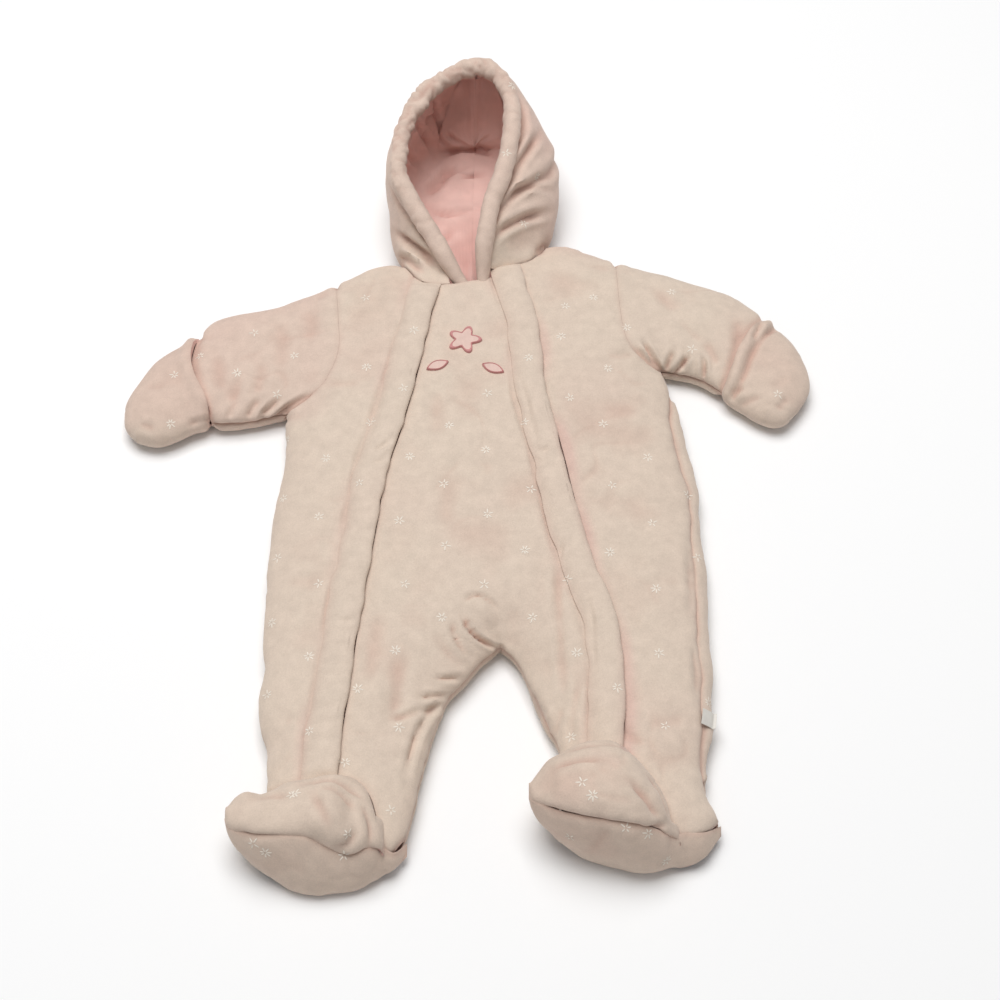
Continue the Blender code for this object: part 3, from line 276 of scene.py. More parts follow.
# Folds: first, middle and last place, each x y z, then half width and height, minus for a
# trough.
BODY_FOLDS = [
    (-73, -42, 41, -65, -40, 42, -58, -31, 32, 2.2, -1.6),
    (-151, 9, 15, -139, 14, 21, -120, 22, 30, 2.2, -4.4),
    (-161, 8, 18, -155, 13, 20, -144, 21, 24, 2.2, -3.0),
    (-172, 5, 17, -168, 12, 21, -161, 20, 25, 2.4, -2.4),
    (-186, 4, 17, -184, 10, 21, -180, 18, 25, 2.4, -2.0),
    (-143, 8, 18, -136, 2, 23, -126, 0, 28, 2.6, -2.2),
    (-112, 31, 32, -96, 27, 36, -84, 30, 37, 4.0, -1.6),
    (138, 74, 30, 144, 62, 25, 152, 55, 13, 1.9, -5.6),
    (130, 68, 33, 140, 59, 27, 151, 53, 13, 2.0, -4.4),
    (162, 68, 26, 158, 60, 22, 154, 53, 14, 1.8, -4.4),
    (175, 64, 26, 168, 57, 21, 160, 51, 14, 1.8, -4.0),
    (184, 62, 26, 185, 53, 23, 184, 44, 15, 1.8, -3.4),
    (171, 70, 28, 170, 60, 24, 168, 52, 17, 2.0, -2.2),
    (132, 62, 33, 118, 56, 36, 106, 58, 37, 4.0, -1.6),
    (-178, 41, 31, -181, 27, 28, -184, 11, 23, 4.5, -2.2),
    (-163, 53, 32, -164, 36, 30, -166, 20, 25, 4.5, -2.0),
    (-201, 63, 30, -195, 41, 31, -189, 20, 27, 5.0, -2.0),
    (-150, 84, 33, -147, 62, 34, -150, 42, 33, 6.0, -1.3),
    (-132, 112, 31, -126, 92, 34, -128, 70, 35, 6.0, -1.4),
    (186, 75, 29, 191, 64, 28, 196, 51, 25, 4.0, -2.2),
    (215, 100, 27, 214, 84, 29, 212, 65, 32, 4.5, -2.0),
    (164, 96, 32, 175, 85, 30, 182, 71, 29, 5.0, -1.8),
    (150, 134, 30, 158, 116, 33, 168, 102, 32, 6.0, -1.4),
    (5, -180, 31, 13, -182, 30, 21, -192, 26, 6.0, 4.0),
    (-3, -180, 31, 4, -197, 28, 25, -205, 18, 1.6, -4.8),
    (-3, -180, 31, 8, -170, 32, 25, -182, 28, 1.6, -2.4),
    (-52, -269, 31, -35, -262, 27, -18, -250, 16, 2.2, -3.0),
    (-32, -249, 29, -23, -247, 25, -12, -240, 15, 1.7, -3.0),
    (-21, -233, 28, -14, -232, 24, -5, -226, 15, 1.7, -2.8),
    (-12, -186, 30, -6, -206, 25, 2, -213, 18, 1.8, -3.2),
    (-14, -247, 18, -31, -272, 25, -41, -318, 23, 2.2, -3.6),
    (66, -143, 40, 66, -185, 38, 67, -262, 33, 3.0, -1.9),
    (80, -236, 34, 73, -262, 33, 68, -292, 30, 2.6, -1.4),
    (-47, -215, 34, -48, -246, 32, -48, -276, 30, 5.5, -2.4),
    (-62, -180, 35, -64, -214, 34, -66, -250, 33, 6.0, -1.4),
    (46, -235, 16, 54, -255, 16, 63, -276, 19, 3.0, -2.2),
    (68, -255, 27, 64, -266, 23, 63, -276, 18, 3.0, -2.0),
    (-20, -205, 31, -8, -218, 26, 1, -220, 19, 2.8, -1.8),
    (162, -116, 26, 162, -151, 27, 161, -185, 27, 3.2, -1.8),
    (161, -202, 27, 162, -226, 27, 161, -250, 26, 3.0, -1.8),
    (-25, 22, 38, -24, -3, 38, -24, -32, 38, 6.0, -1.1),
    (-14, -60, 38, -15, -88, 38, -15, -114, 37, 6.0, -1.1),
    (14, -32, 38, 14, -51, 38, 16, -69, 38, 5.0, -0.9),
    (-40, 130, 38, -32, 130, 36, -24, 129, 33, 2.6, -1.8),
    (104, -270, 34, 112, -282, 32, 124, -287, 31, 4.0, -1.6),
    (-112, -286, 34, -102, -295, 33, -90, -297, 33, 4.0, -1.5),
    (-132, -150, 31, -118, -156, 35, -100, -152, 37, 6.0, -1.0),
    (128, 8, 34, 116, 2, 37, 100, 4, 38, 6.0, -1.0),
    (-128, -262, 29, -118, -270, 33, -104, -268, 35, 5.0, -1.2),
    (150, -262, 30, 138, -272, 33, 124, -268, 35, 5.0, -1.2),
]
BACK_FOLDS = [
    (-110, 40, 0, -84, 30, 0, -56, 32, 0, 6.0, -1.6),
    (112, 52, 0, 90, 44, 0, 62, 40, 0, 6.0, -1.6),
    (-70, -186, 0, -30, -176, 0, 12, -184, 0, 6.0, -1.6),
    (20, -186, 0, 58, -178, 0, 96, -186, 0, 6.0, -1.6),
    (-96, -262, 0, -74, -270, 0, -50, -266, 0, 5.0, -1.4),
    (82, -254, 0, 108, -262, 0, 132, -256, 0, 5.0, -1.4),
    (-168, 30, 1, -170, 50, 0, -166, 72, 0, 5.0, -1.4),
    (182, 78, 0, 188, 94, 0, 186, 112, 1, 5.0, -1.4),
]
MITT_FOLDS = [
    (236, 99, 24, 229, 86, 29, 224, 74, 31, 2.2, -4.0),
    (-217, -4, 19, -207, 0, 18, -196, 3, 18, 2.4, -1.6),
    (-254, -2, 23, -248, -7, 23, -241, -8, 23, 3.2, -1.6),
    (-256, 36, 22, -246, 30, 24, -236, 32, 27, 4.0, -1.0),
    (205, 28, 18, 210, 29, 22, 216, 31, 25, 2.2, -1.8),
    (211, 19, 14, 219, 20, 21, 228, 22, 25, 2.4, -1.8),
    (238, 8, 18, 244, 16, 23, 250, 20, 22, 3.0, -1.2),
]
HOOD_FOLDS = [
    (22, 184, 74, 42, 232, 74, 54, 268, 66, 2.8, -4.2),
    (18, 172, 66, 40, 207, 63, 67, 236, 52, 2.8, -4.4),
    (36, 230, 86, 43, 268, 80, 38, 300, 82, 2.6, -2.8),
    (18, 162, 52, 36, 183, 51, 66, 207, 38, 2.8, -4.4),
    (31, 198, 66, 47, 214, 60, 68, 222, 44, 2.4, -3.0),
    (24, 180, 66, 42, 216, 68, 64, 248, 56, 5.0, 2.6),
    (32, 212, 80, 46, 250, 76, 50, 282, 70, 4.6, 2.0),
    (24, 168, 58, 44, 194, 56, 68, 214, 42, 5.0, 2.4),
    (56, 226, 56, 66, 250, 50, 66, 276, 44, 3.4, -2.4),
    (-66, 222, 56, -54, 192, 53, -24, 146, 53, 1.8, -2.0),
    (-64, 190, 33, -46, 168, 39, -24, 144, 38, 2.8, -4.2),
    (-61, 173, 20, -50, 158, 31, -38, 143, 33, 2.6, -3.4),
    (-66, 205, 44, -50, 180, 47, -28, 148, 46, 5.0, 2.0),
    (-62, 180, 27, -48, 162, 35, -32, 146, 36, 4.4, 1.8),
    (-70, 236, 50, -69, 258, 54, -62, 282, 56, 3.0, -1.8),
    (30, 330, 84, 36, 318, 66, 48, 306, 50, 3.6, -1.8),
    (-20, 336, 84, -30, 328, 66, -42, 318, 50, 3.6, -1.8),
]
FOOT_FOLDS = [
    (-106, -326, 44, -83, -327, 47, -64, -337, 40, 3.0, -3.2),
    (-98, -334, 52, -80, -336, 51, -68, -350, 46, 2.8, -2.6),
    (-70, -337, 44, -63, -352, 42, -64, -367, 34, 2.6, -2.6),
    (-86, -366, 42, -76, -364, 40, -70, -356, 44, 2.6, -2.4),
    (-101, -334, 52, -92, -349, 57, -86, -363, 49, 3.4, -2.0),
    (-138, -336, 44, -126, -334, 48, -114, -338, 52, 3.4, -1.6),
    (107, -333, 66, 119, -343, 60, 127, -356, 47, 3.0, -3.4),
    (114, -322, 52, 128, -336, 46, 133, -352, 40, 2.6, -2.4),
    (118, -358, 49, 126, -356, 46, 131, -352, 40, 2.2, -2.2),
    (58, -322, 58, 75, -318, 65, 95, -320, 66, 2.8, -2.8),
    (62, -308, 52, 88, -304, 55, 118, -306, 40, 3.2, -2.4),
]
LINING_FOLDS = [
    (-30, 300, 12, -2, 311, 8, 26, 299, 12, 3.6, -6.5),
    (-26, 281, 10, -6, 283, 8, 16, 273, 9, 3.2, -5.0),
    (-16, 292, 9, -28, 268, 10, -40, 252, 13, 3.8, -6.0),
    (-8, 349, 52, -17, 342, 28, -24, 312, 10, 2.4, -4.5),
    (-46, 272, 80, -44, 296, 44, -36, 302, 16, 2.6, -4.5),
    (-30, 300, 84, -33, 316, 44, -25, 308, 12, 2.6, -4.5),
    (-52, 250, 72, -50, 270, 42, -42, 280, 18, 2.6, -3.6),
    (-38, 290, 60, -28, 310, 50, -22, 330, 44, 2.8, -3.2),
    (20, 343, 40, 21, 336, 16, 18, 310, 10, 3.0, -3.6),
    (22, 250, 10, 30, 262, 12, 38, 268, 18, 3.2, -3.0),
    (-34, 238, 14, -18, 231, 8, -4, 238, 8, 3.0, -3.4),
    (4, 250, 8, 14, 240, 8, 26, 236, 12, 3.0, -3.0),
    (-14, 222, 8, -20, 206, 9, -32, 196, 16, 3.0, -3.0),
    (-6, 300, 8, 2, 330, 8, -4, 346, 22, 9.0, 2.6),
    (-12, 262, 8, -14, 246, 8, -10, 226, 8, 8.0, 2.4),
]

# Stars: a half-drop lattice on the body, and single ones on the other pieces.
STAR_ACROSS = 30.5
STAR_DOWN = 58.0
STAR_START = (14.0, 14.0)
SINGLE_STARS = [
    (34, 294, 98), (29, 226, 86), (44, 187, 48), (53, 226, 62), (-84, 118, 34),
    (163, 127, 29), (99, 116, 35), (176, 67, 27), (76, 106, 36), (125, 85, 33), (240, 23, 25),
    (-231, 41, 29), (-230, -4, 23), (-171, 82, 31), (-138, 58, 32), (-181, 41, 31),
    (-150, 23, 25), (-213, 61, 28), (-129, -369, 35), (-78, -370, 32), (-113, -336, 50),
    (84, -345, 68), (70, -359, 36), (120, -361, 46), (133, -368, 20),
]


def linear(code):
    """An sRGB hex value as linear red, green and blue."""
    parts = [int(code[k:k + 2], 16) / 255 for k in (1, 3, 5)]
    return [c / 12.92 if c <= 0.04045 else ((c + 0.055) / 1.055) ** 2.4 for c in parts]


# ---- lines and grids ----

def smooth_line(points, per_span=14):
    """A dense smooth line through a few points (Catmull-Rom)."""
    p = np.array(points, float)
    ends = np.concatenate([[2 * p[0] - p[1]], p, [2 * p[-1] - p[-2]]])
    line = []
    for a, b, c, d in zip(ends, ends[1:], ends[2:], ends[3:]):
        for t in np.linspace(0, 1, per_span, endpoint=False):
            line.append(b + 0.5 * t * ((c - a) + t * (2 * a - 5 * b + 4 * c - d)
                                       + t * t * (3 * b - a - 3 * c + d)))
    line.append(p[-1])
    return np.array(line)


def fractions_of(line):
    """Fraction of a line's length at each of its points."""
    spans = np.linalg.norm(np.diff(line, axis=0), axis=1)
    return np.concatenate([[0], np.cumsum(spans)]) / spans.sum()


def along(line, fractions):
    """Points at the given fractions of a line's length."""
    run = fractions_of(line)
    return np.stack([np.interp(fractions, run, line[:, k]) for k in range(line.shape[1])], 1)


def shares(table, fractions):
    """A table's smooth line at the given fractions."""
    return along(smooth_line(table), fractions)


def ease(q):
    """Smooth step from 0 to 1."""
    q = np.clip(q, 0, 1)
    return q * q * (3 - 2 * q)


def unit(vectors):
    """Vectors made 1 long."""
    return vectors / np.maximum(np.linalg.norm(vectors, axis=-1), 1e-9)[..., None]


def left_of(run):
    """Plan directions turned a quarter to the left."""
    return np.stack([-run[..., 1], run[..., 0]], -1)


def graded(count, fine_start=False, fine_end=False):
    """Fractions from 0 to 1, closer together at the ends where the form rounds."""
    t = (np.arange(count) + 0.5) / count
    step = np.ones(count)
    if fine_start:
        step *= 0.2 + 0.8 * ease(t / 0.2)
    if fine_end:
        step *= 0.2 + 0.8 * ease((1 - t) / 0.2)
    run = np.concatenate([[0], np.cumsum(step)])
    return run / run[-1]


def chain(*lines):
    """Lines end to end without repeating the points where they meet."""
    return np.vstack([lines[0]] + [line[1:] for line in lines[1:]])


def turned(table):
    """The same table read from its other end."""
    return table[::-1]


def coons(left, right, low, high):
    """Grid between four lines: rows run from left to right, columns from low to high."""
    u = (fractions_of(low) + fractions_of(high))[None, :, None] / 2
    v = (fractions_of(left) + fractions_of(right))[:, None, None] / 2
    sides = (1 - u) * left[:, None] + u * right[:, None]
    ends = (1 - v) * low[None] + v * high[None]
    corners = ((1 - u) * (1 - v) * left[0] + u * (1 - v) * right[0]
               + (1 - u) * v * left[-1] + u * v * right[-1])
    return sides + ends - corners


def winding(grid):
    """+1 where rows then columns of a plan grid turn anticlockwise, -1 the other way."""
    rim = np.concatenate([grid[0], grid[:, -1], grid[-1][::-1], grid[::-1, 0]])
    after = np.roll(rim, -1, axis=0)
    return np.sign(np.sum(rim[:, 0] * after[:, 1] - rim[:, 1] * after[:, 0]))


def drawn_in(grid, amount, sides):
    """Moves the named sides of a grid inwards by an amount, easing off across the grid."""
    out = grid.copy()
    rows = np.linspace(1, 0, grid.shape[0])[:, None, None] ** 2
    columns = np.linspace(1, 0, grid.shape[1])[None, :, None] ** 2
    places = {"left": (np.s_[:, :1], columns), "right": (np.s_[:, -1:], columns[:, ::-1]),
              "low": (np.s_[:1], rows), "high": (np.s_[-1:], rows[::-1])}
    for side in sides:
        edge, share = places[side]
        upright = side in ("left", "right")
        run = np.gradient(grid[edge], axis=0 if upright else 1)
        turn = 1 if side in ("right", "low") else -1
        out += unit(left_of(run)) * share * amount * turn * winding(grid)
    return out


def split_panel(outer, middle, inner_leg, top, low, outer_gap):
    """Half of a panel with two legs: rows from the top to the fork, then down one leg. It
    stays clear of the pieces beside it."""
    fork = len(middle)
    across = (fractions_of(top) + fractions_of(low)) / 2
    cross = along(np.stack([outer[fork - 1], middle[-1]]), across)
    upper = coons(outer[:fork], middle, top, cross)
    lower = coons(outer[fork - 1:], inner_leg, cross, low)
    grid = drawn_in(np.concatenate([upper, lower[1:]]), outer_gap / 2, ["left"])
    grid[-1] = drawn_in(grid, SEAM_GAP / 2, ["high"])[-1]
    grid[0, :, 1] -= SEAM_GAP / 2
    return grid


def grid_normals(grid, away_from):
    """Normals of a grid, pointing away from a place inside the form."""
    normals = unit(np.cross(np.gradient(grid, axis=1), np.gradient(grid, axis=0)))
    outward = np.sum(normals * (grid - np.array(away_from, float)), axis=2).sum()
    return normals * np.sign(outward)


# ---- the puffed body ----

def outline(reach_past):
    """The closed plan outline, anticlockwise, run on past the neck and the feet."""
    neck = [(61, 187), (50, 181 + reach_past), (1, 176 + reach_past), (-50, 171 + reach_past),
            (-59, 168)]
    right_foot = [(-135, -368 - reach_past), (-98, -385 - reach_past),
                  (-60, -378 - reach_past), (-38, -361)]
    left_foot = [(63, -352 - reach_past), (96, -366 - reach_past), (140, -368 - reach_past),
                 (160, -360 - reach_past)]
    going_down = [RIGHT_SHOULDER, RIGHT_SLEEVE_TOP, RIGHT_MITT_TOP, RIGHT_MITT_TIP,
                  RIGHT_MITT_LOW, RIGHT_SLEEVE_LOW, RIGHT_SIDE]
    going_up = [LEFT_SIDE, LEFT_SLEEVE_LOW, LEFT_MITT_LOW, LEFT_MITT_TIP, LEFT_MITT_TOP,
                LEFT_SLEEVE_TOP, LEFT_SHOULDER]
    pieces = [neck] + [smooth_line(table) for table in going_down]
    pieces += [right_foot, smooth_line(turned(RIGHT_INNER_LEG)), smooth_line(LEFT_INNER_LEG),
               left_foot]
    pieces += [smooth_line(turned(table)) for table in going_up]
    loop = np.vstack([np.array(piece, float) for piece in pieces])
    keep = np.linalg.norm(loop - np.roll(loop, 1, axis=0), axis=1) > 0.01
    return loop[keep]


def nearest_on(lines, points):
    """Distance to the nearest of many short segments, the nearest place and the segment."""
    starts, stops = lines
    count = np.maximum(np.ceil(np.linalg.norm(stops - starts, axis=1) / 0.8), 1).astype(int)
    owner = np.repeat(np.arange(len(starts)), count)
    share = np.concatenate([(np.arange(k) + 0.5) / k for k in count])[:, None]
    spots = starts[owner] * (1 - share) + stops[owner] * share
    tree = KDTree(len(spots))
    to_space = ((0, 0), (0, 3 - spots.shape[1]))
    for number, spot in enumerate(np.pad(spots, to_space)):
        tree.insert(spot, number)
    tree.balance()
    best = owner[np.array([tree.find(place)[1] for place in np.pad(points, to_space)])]
    run = (stops - starts)[best]
    length = np.maximum(np.sum(run * run, axis=1), 1e-9)
    t = np.clip(np.sum((points - starts[best]) * run, axis=1) / length, 0, 1)
    near = starts[best] + t[:, None] * run
    return np.linalg.norm(points - near, axis=1), near, best


OUTLINES = {"front": outline(0), "back": outline(40)}


def inset(plan, side):
    """How far each plan point lies inside the outline, and the inward direction there."""
    loop = OUTLINES[side]
    after = np.roll(loop, -1, axis=0)
    gap, near, best = nearest_on((loop, after), plan)
    inward = unit(left_of((after - loop)[best]))
    far = gap > 0.3
    inward[far] = (plan - near)[far] / gap[far][:, None]
    return gap, inward


def arm_share(plan):
    """0 on the body, 1 on the sleeves."""
    return ease((np.abs(plan[:, 0] - 12) - 105) / 40) * ease((plan[:, 1] + 20) / 25)


def mitt_share(plan):
    """0 up to the cuffs, 1 on the mitts."""
    return ease((np.abs(plan[:, 0]) - 195) / 30)


def crown(plan):
    """Height of the front skin away from its edges."""
    body = BODY_CROWN + (SLEEVE_CROWN - BODY_CROWN) * arm_share(plan)
    return body + (MITT_CROWN - SLEEVE_CROWN) * mitt_share(plan)


def belly(plan):
    """The belly's low dome over the middle of the front."""
    x, y = plan[:, 0], plan[:, 1]
    return BELLY_DOME * np.exp(-((x - 10) / 95) ** 2) * ease((y + 330) / 190) * ease((205 - y) / 90)


def skin(plan, side):
    """Points and outward normals of the front or back skin over plan points."""
    shape = plan.shape[:-1]
    flat = plan.reshape(-1, 2)
    gap, inward = inset(flat, side)
    sign = 1 if side == "front" else -1
    start = SEAM_Z + sign * SEAM_GAP / 2
    if side == "front":
        reach = FRONT_ROUND + (MITT_ROUND - FRONT_ROUND) * mitt_share(flat)
        rise = crown(flat) - start
        dome = belly(flat) * ease(gap / 50)
    else:
        reach = np.full(len(flat), BACK_ROUND)
        rise = np.full(len(flat), start)
        dome = np.zeros(len(flat))
    q = np.clip(gap / reach, 0, 1)
    z = start + sign * (rise * np.sqrt(q * (2 - q)) + dome)
    slope = rise / reach * (1 - q) / np.sqrt(np.maximum(q * (2 - q), 2e-4))
    normal = unit(np.column_stack([-inward * slope[:, None], np.full(len(flat), float(sign))]))
    points = np.column_stack([flat, z])
    return points.reshape(shape + (3,)), normal.reshape(shape + (3,))


# ---- relief: padding, seams, puckers and folds ----

def lattice_noise(place, seed):
    """Value noise on a unit lattice, from -1 to 1."""
    cell = np.floor(place).astype(np.int64)
    share = ease(place - cell)
    total = np.zeros(len(place))
    for corner in itertools.product((0, 1), repeat=3):
        at = cell + corner
        code = (at[:, 0] * 73856093) ^ (at[:, 1] * 19349663) ^ (at[:, 2] * 83492791)
        code = ((code ^ (seed * 97531)) * 265443576) & 0x7FFFFFFFFFFF
        code = ((code ^ (code >> 15)) * 22695477) & 0x7FFFFFFFFFFF
        value = ((code >> 14) % 65536) / 32768 - 1
        total += np.prod(np.where(corner, share, 1 - share), axis=1) * value
    return total


def soft_noise(points, size, seed):
    """Smooth noise from -1 to 1 over points, its bumps about size millimetres apart."""
    turn = np.array([[0.80, 0.36, -0.48], [-0.60, 0.48, -0.64], [0.0, 0.80, 0.60]])
    first = lattice_noise(points / size + 40, seed)
    return (first + lattice_noise(points @ turn.T / size + 57, seed + 31)) * 0.8


def padding(points, amount=1.0):
    """Lift of the padding between the seams: soft puffs of two sizes, with loose small creases
    where the velour is slack over them."""
    wide = soft_noise(points * (1, 1, 0.5), 42, 3) * 1.05
    small = soft_noise(points * (1, 1, 0.6), 19, 8) * 0.6
    slack = np.clip(soft_noise(points, 48, 16) * 1.6 + 0.25, 0, 1)
    crease = np.exp(-(soft_noise(points * (1, 1.25, 0.6), 30, 9) / 0.075) ** 2)
    return (wide + small + soft_noise(points, 8, 5) * 0.14 - 0.8 * slack * crease) * amount


def seam_relief(reach, near, sizes, depth=1.0):
    """Groove along a seam, the roll beside it and the puckers that run out from it. The side
    seams are drawn in and gathered most, and their outline is a little scalloped."""
    outer = 1 - ease((inset(near[:, :2], "front")[0] - 3) / 12)
    strength = (0.10 + 0.90 * outer) * depth
    groove = -sizes.seam_depth / MM * strength * np.exp(-(reach / 2.8) ** 1.4)
    roll = (0.1 + 0.8 * outer) * (reach / 9) * np.exp(1 - reach / 9)
    uneven = 0.45 + 0.55 * soft_noise(near, 30, 21)
    gathers = soft_noise(near, 8.5, 11) + 0.6 * soft_noise(near, 5, 13)
    spread = (reach / 4.5) * np.exp(1 - reach / 4.5) * (0.5 + 0.9 * outer)
    scallop = outer * 1.1 * soft_noise(near, 21, 17) * np.exp(-reach / 16)
    return groove + roll + scallop + sizes.pucker / MM * uneven * gathers * spread


def fold_relief(points, normals, folds):
    """Lift of every fold in a table at each point."""
    lift = np.zeros(len(points))
    for *places, width, height in folds:
        a, b, c = np.reshape(np.array(places, float), (3, 3))
        count = 12 + int((np.linalg.norm(b - a) + np.linalg.norm(c - b)) / (0.6 * width))
        t = np.linspace(0, 1, count)[:, None]
        bent = 2 * b - (a + c) / 2
        curve = (1 - t) ** 2 * a + 2 * t * (1 - t) * bent + t * t * c
        margin = 4 * width + 10
        low, high = curve.min(axis=0) - margin, curve.max(axis=0) + margin
        picked = np.flatnonzero(np.all((points > low) & (points < high), axis=1))
        if not len(picked):
            continue
        away = points[picked][:, None] - curve[None]
        deep = np.sum(away * normals[picked][:, None], axis=2)
        flat = np.sqrt(np.maximum(np.sum(away * away, axis=2) - deep * deep, 0))
        flat[np.abs(deep) > 14] = 1e3
        best = flat.argmin(axis=1)
        gap = flat[np.arange(len(picked)), best] / width
        share = best / (count - 1)
        fade = ease(share / 0.3) * ease((1 - share) / 0.3) * 0.85 + 0.15
        fade *= 1 + 0.25 * soft_noise(points[picked], 13, 29)
        shape = np.exp(-gap ** 1.7)
        if height < 0:
            shape -= 0.38 * np.exp(-((gap - 2.2) / 0.95) ** 2)
        lift[picked] += height * fade * shape
    return lift


# ---- meshes ----

def weld(patches):
    """Joins grids that share points: points, normals and quads facing along them."""
    points, normals, quads, start = [], [], [], 0
    for grid, normal in patches:
        rows, columns = grid.shape[:2]
        ids = start + np.arange(rows * columns).reshape(rows, columns)
        quad = np.stack([ids[:-1, :-1], ids[:-1, 1:], ids[1:, 1:], ids[1:, :-1]], 2)
        points.append(grid.reshape(-1, 3))
        normals.append(normal.reshape(-1, 3))
        quads.append(quad.reshape(-1, 4))
        start += rows * columns
    points, normals, quads = (np.concatenate(part) for part in (points, normals, quads))
    keys = np.round(points * 50).astype(np.int64)
    _, first, index = np.unique(keys, axis=0, return_index=True, return_inverse=True)
    points, normals, quads = points[first], normals[first], index.reshape(-1)[quads]
    a, b, c, d = (points[quads[:, k]] for k in range(4))
    facing = np.sum(np.cross(c - a, d - b) * normals[quads[:, 0]], axis=1)
    quads[facing < 0] = quads[facing < 0][:, ::-1]
    return points, normals, quads


def rim_edges(quads):
    """Directed edges that only one face uses."""
    size = int(quads.max()) + 1
    edges = np.concatenate([quads[:, [k, (k + 1) % 4]] for k in range(4)])
    edges = edges[edges[:, 0] != edges[:, 1]]
    forth = edges[:, 0] * size + edges[:, 1]
    back = edges[:, 1] * size + edges[:, 0]
    return edges[~np.isin(forth, back)]


def without_doubles(quads):
    """Faces as lists, with corners that a weld has joined used once."""
    faces = []
    for quad in quads.tolist():
        face = [v for k, v in enumerate(quad) if v != quad[k - 1]]
        if len(face) > 2:
            faces.append(face)
    return faces


def both_sides(faces, rim, count):
    """Faces of a closed piece: one side, the same turned over, and the edge between them."""
    turned_over = [[v + count for v in face[::-1]] for face in faces]
    return faces + turned_over + [[b, a, a + count, b + count] for a, b in rim.tolist()]


def blush_at(points):
    """How pink the velour is at each point: more on the hood, in the wearer's right sleeve and
    along the panel edge beside the wearer's left zip, and in the grooves along both guards' outer
    edges, where the pink is painted shade."""
    x, y = points[:, 0], points[:, 1]
    tone = 0.5 * ease((y - 150) / 50) + 0.42 * arm_share(points[:, :2]) * (x < 0)
    # At 24 mm beside each zip lies the groove along the guard's outer edge: painted shade there. At
    # -4.5 mm the panel edge beside the left zip is made pinker.
    for table, shift, amount in ((RIGHT_ZIP, 24, 0.4), (LEFT_ZIP, -4.5, 0.8), (LEFT_ZIP, 24, 0.3)):
        gap = beside_zip(points, table)
        tone += amount * np.exp(-((gap - shift) / 5.5) ** 2) * (0.55 + soft_noise(points, 40, 77))
    return np.clip(tone + 0.25 * soft_noise(points, 70, 78), 0, 1)


def add_mesh(name, points, faces, suit, finishes, kinds=None, depth=None, blush=None):
    """A smooth mesh object in metres. kinds gives each face one of the finishes, and depth is the
    painted shade at each point: how far its colour is darkened where shade falls."""
    mesh = bpy.data.meshes.new(name)
    points = np.array(points, float)
    points[:, 2] = np.maximum(points[:, 2], 0)
    mesh.from_pydata((points * MM).tolist(), [], faces)
    mesh.shade_smooth()
    mesh.set_sharp_from_angle(angle=1.2)
    for finish in finishes:
        mesh.materials.append(suit_material(finish, suit))
    if kinds is not None:
        mesh.polygons.foreach_set("material_index", kinds)
    # The painted shade and the pink tone are kept on each point for the materials.
    for key, values in (("painted_shade", depth), ("blush", blush)):
        if values is not None:
            layer = mesh.attributes.new(key, "FLOAT", "POINT")
            layer.data.foreach_set("value", np.asarray(values, np.float32))
    mesh.validate()
    piece = bpy.data.objects.new(name, mesh)
    bpy.context.scene.collection.objects.link(piece)
    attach(piece, "root")
    return piece


def add_padded(node, patches, suit, full=WALL_FULL, sewn=WALL_SEWN, fold=None, keep=None,
               folds=(), shaped=None, cap=None, hold=None, puff=1.0, groove=1.0, pink_edge=False,
               shade=0.0):
    """One padded velour piece over its CAD solid: outer skin, lining side and sewn edge."""
    points, normals, quads = weld(patches)
    rim = rim_edges(quads)
    reach, near, _ = nearest_on((points[rim[:, 0]], points[rim[:, 1]]), points)
    pressed = reach if fold is None else np.minimum(reach, fold(points))
    thick = sewn + (full - sewn) * ease(pressed / WALL_RAMP)
    lift = padding(points, puff * suit.sizes.puff / MM) * ease(reach / 13)
    lift += seam_relief(reach, near, suit.sizes, groove)
    lift += fold_relief(points, normals, folds)
    if shaped is not None:
        lift += shaped(points)
    if cap is not None:
        lift = np.minimum(lift, cap(points))
    lift = np.maximum(lift, 0.8 - thick)
    inner = points - normals * thick[:, None]
    if keep is not None:
        inner = keep(points, inner)
    outer = points + normals * lift[:, None]
    if hold is not None:
        outer = hold(points, outer)
    wave = drawn_up(points)
    outer, inner = outer + wave, inner + wave
    faces = without_doubles(quads)
    kinds = [0] * len(faces) + [1] * len(faces) + [int(pink_edge)] * len(rim)
    # Painted shade: darker in troughs and beside the sewn edges, where shade falls, and over the
    # whole piece by shade; the lining side is painted a little darker as well.
    deep = np.clip(-lift / 4.0, 0, 1) * 0.75 + 0.16 * np.exp(-(reach / 2.2) ** 1.5) + shade
    piece = add_mesh(f"{node}_velour", np.vstack([outer, inner]),
                     both_sides(faces, rim, len(points)),
                     suit, ["velour", "jersey"], kinds,
                     np.concatenate([np.clip(deep, 0, 1), np.full(len(points), 0.3)]),
                     np.tile(blush_at(points), 2))
    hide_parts(node)


def drawn_up(points):
    """Plan shift where the side seams are drawn up between the puffs: the body's outline is
    scalloped and the seam of the turned strip wanders. Pieces that meet there share it."""
    gap, inward = inset(points[:, :2], "front")
    x, y = points[:, 0], points[:, 1]
    beside = ease((30 - y) / 30) * ease((y + 340) / 30) * ease((np.abs(x - 12) - 60) / 25)
    near = np.column_stack([points[:, :2] - inward * gap[:, None], np.full(len(x), 9.0)])
    wave = 2.7 * (soft_noise(near, 22, 71) + 0.2) * np.exp(-gap / 12) * beside
    shift = np.column_stack([inward * wave[:, None], np.zeros(len(x))])
    side = smooth_line(turned(LEFT_SIDE))
    seam = np.interp(y, side[:, 1], side[:, 0]) - turn_width(y)
    run = np.column_stack([np.full(len(x), 5.0), y, np.full(len(x), 5.0)])
    wander = 2.0 * soft_noise(run, 24, 72) + 0.9 * soft_noise(run, 10, 73)
    shift[:, 0] += wander * np.exp(-((x - seam) / 6) ** 2) * (points[:, 2] > SEAM_Z) * ease(
        turn_width(y) / 5)
    return shift


def outline_fold(points):
    """Padding is pressed thin where a panel folds round the outline."""
    return inset(points[:, :2], "front")[0]


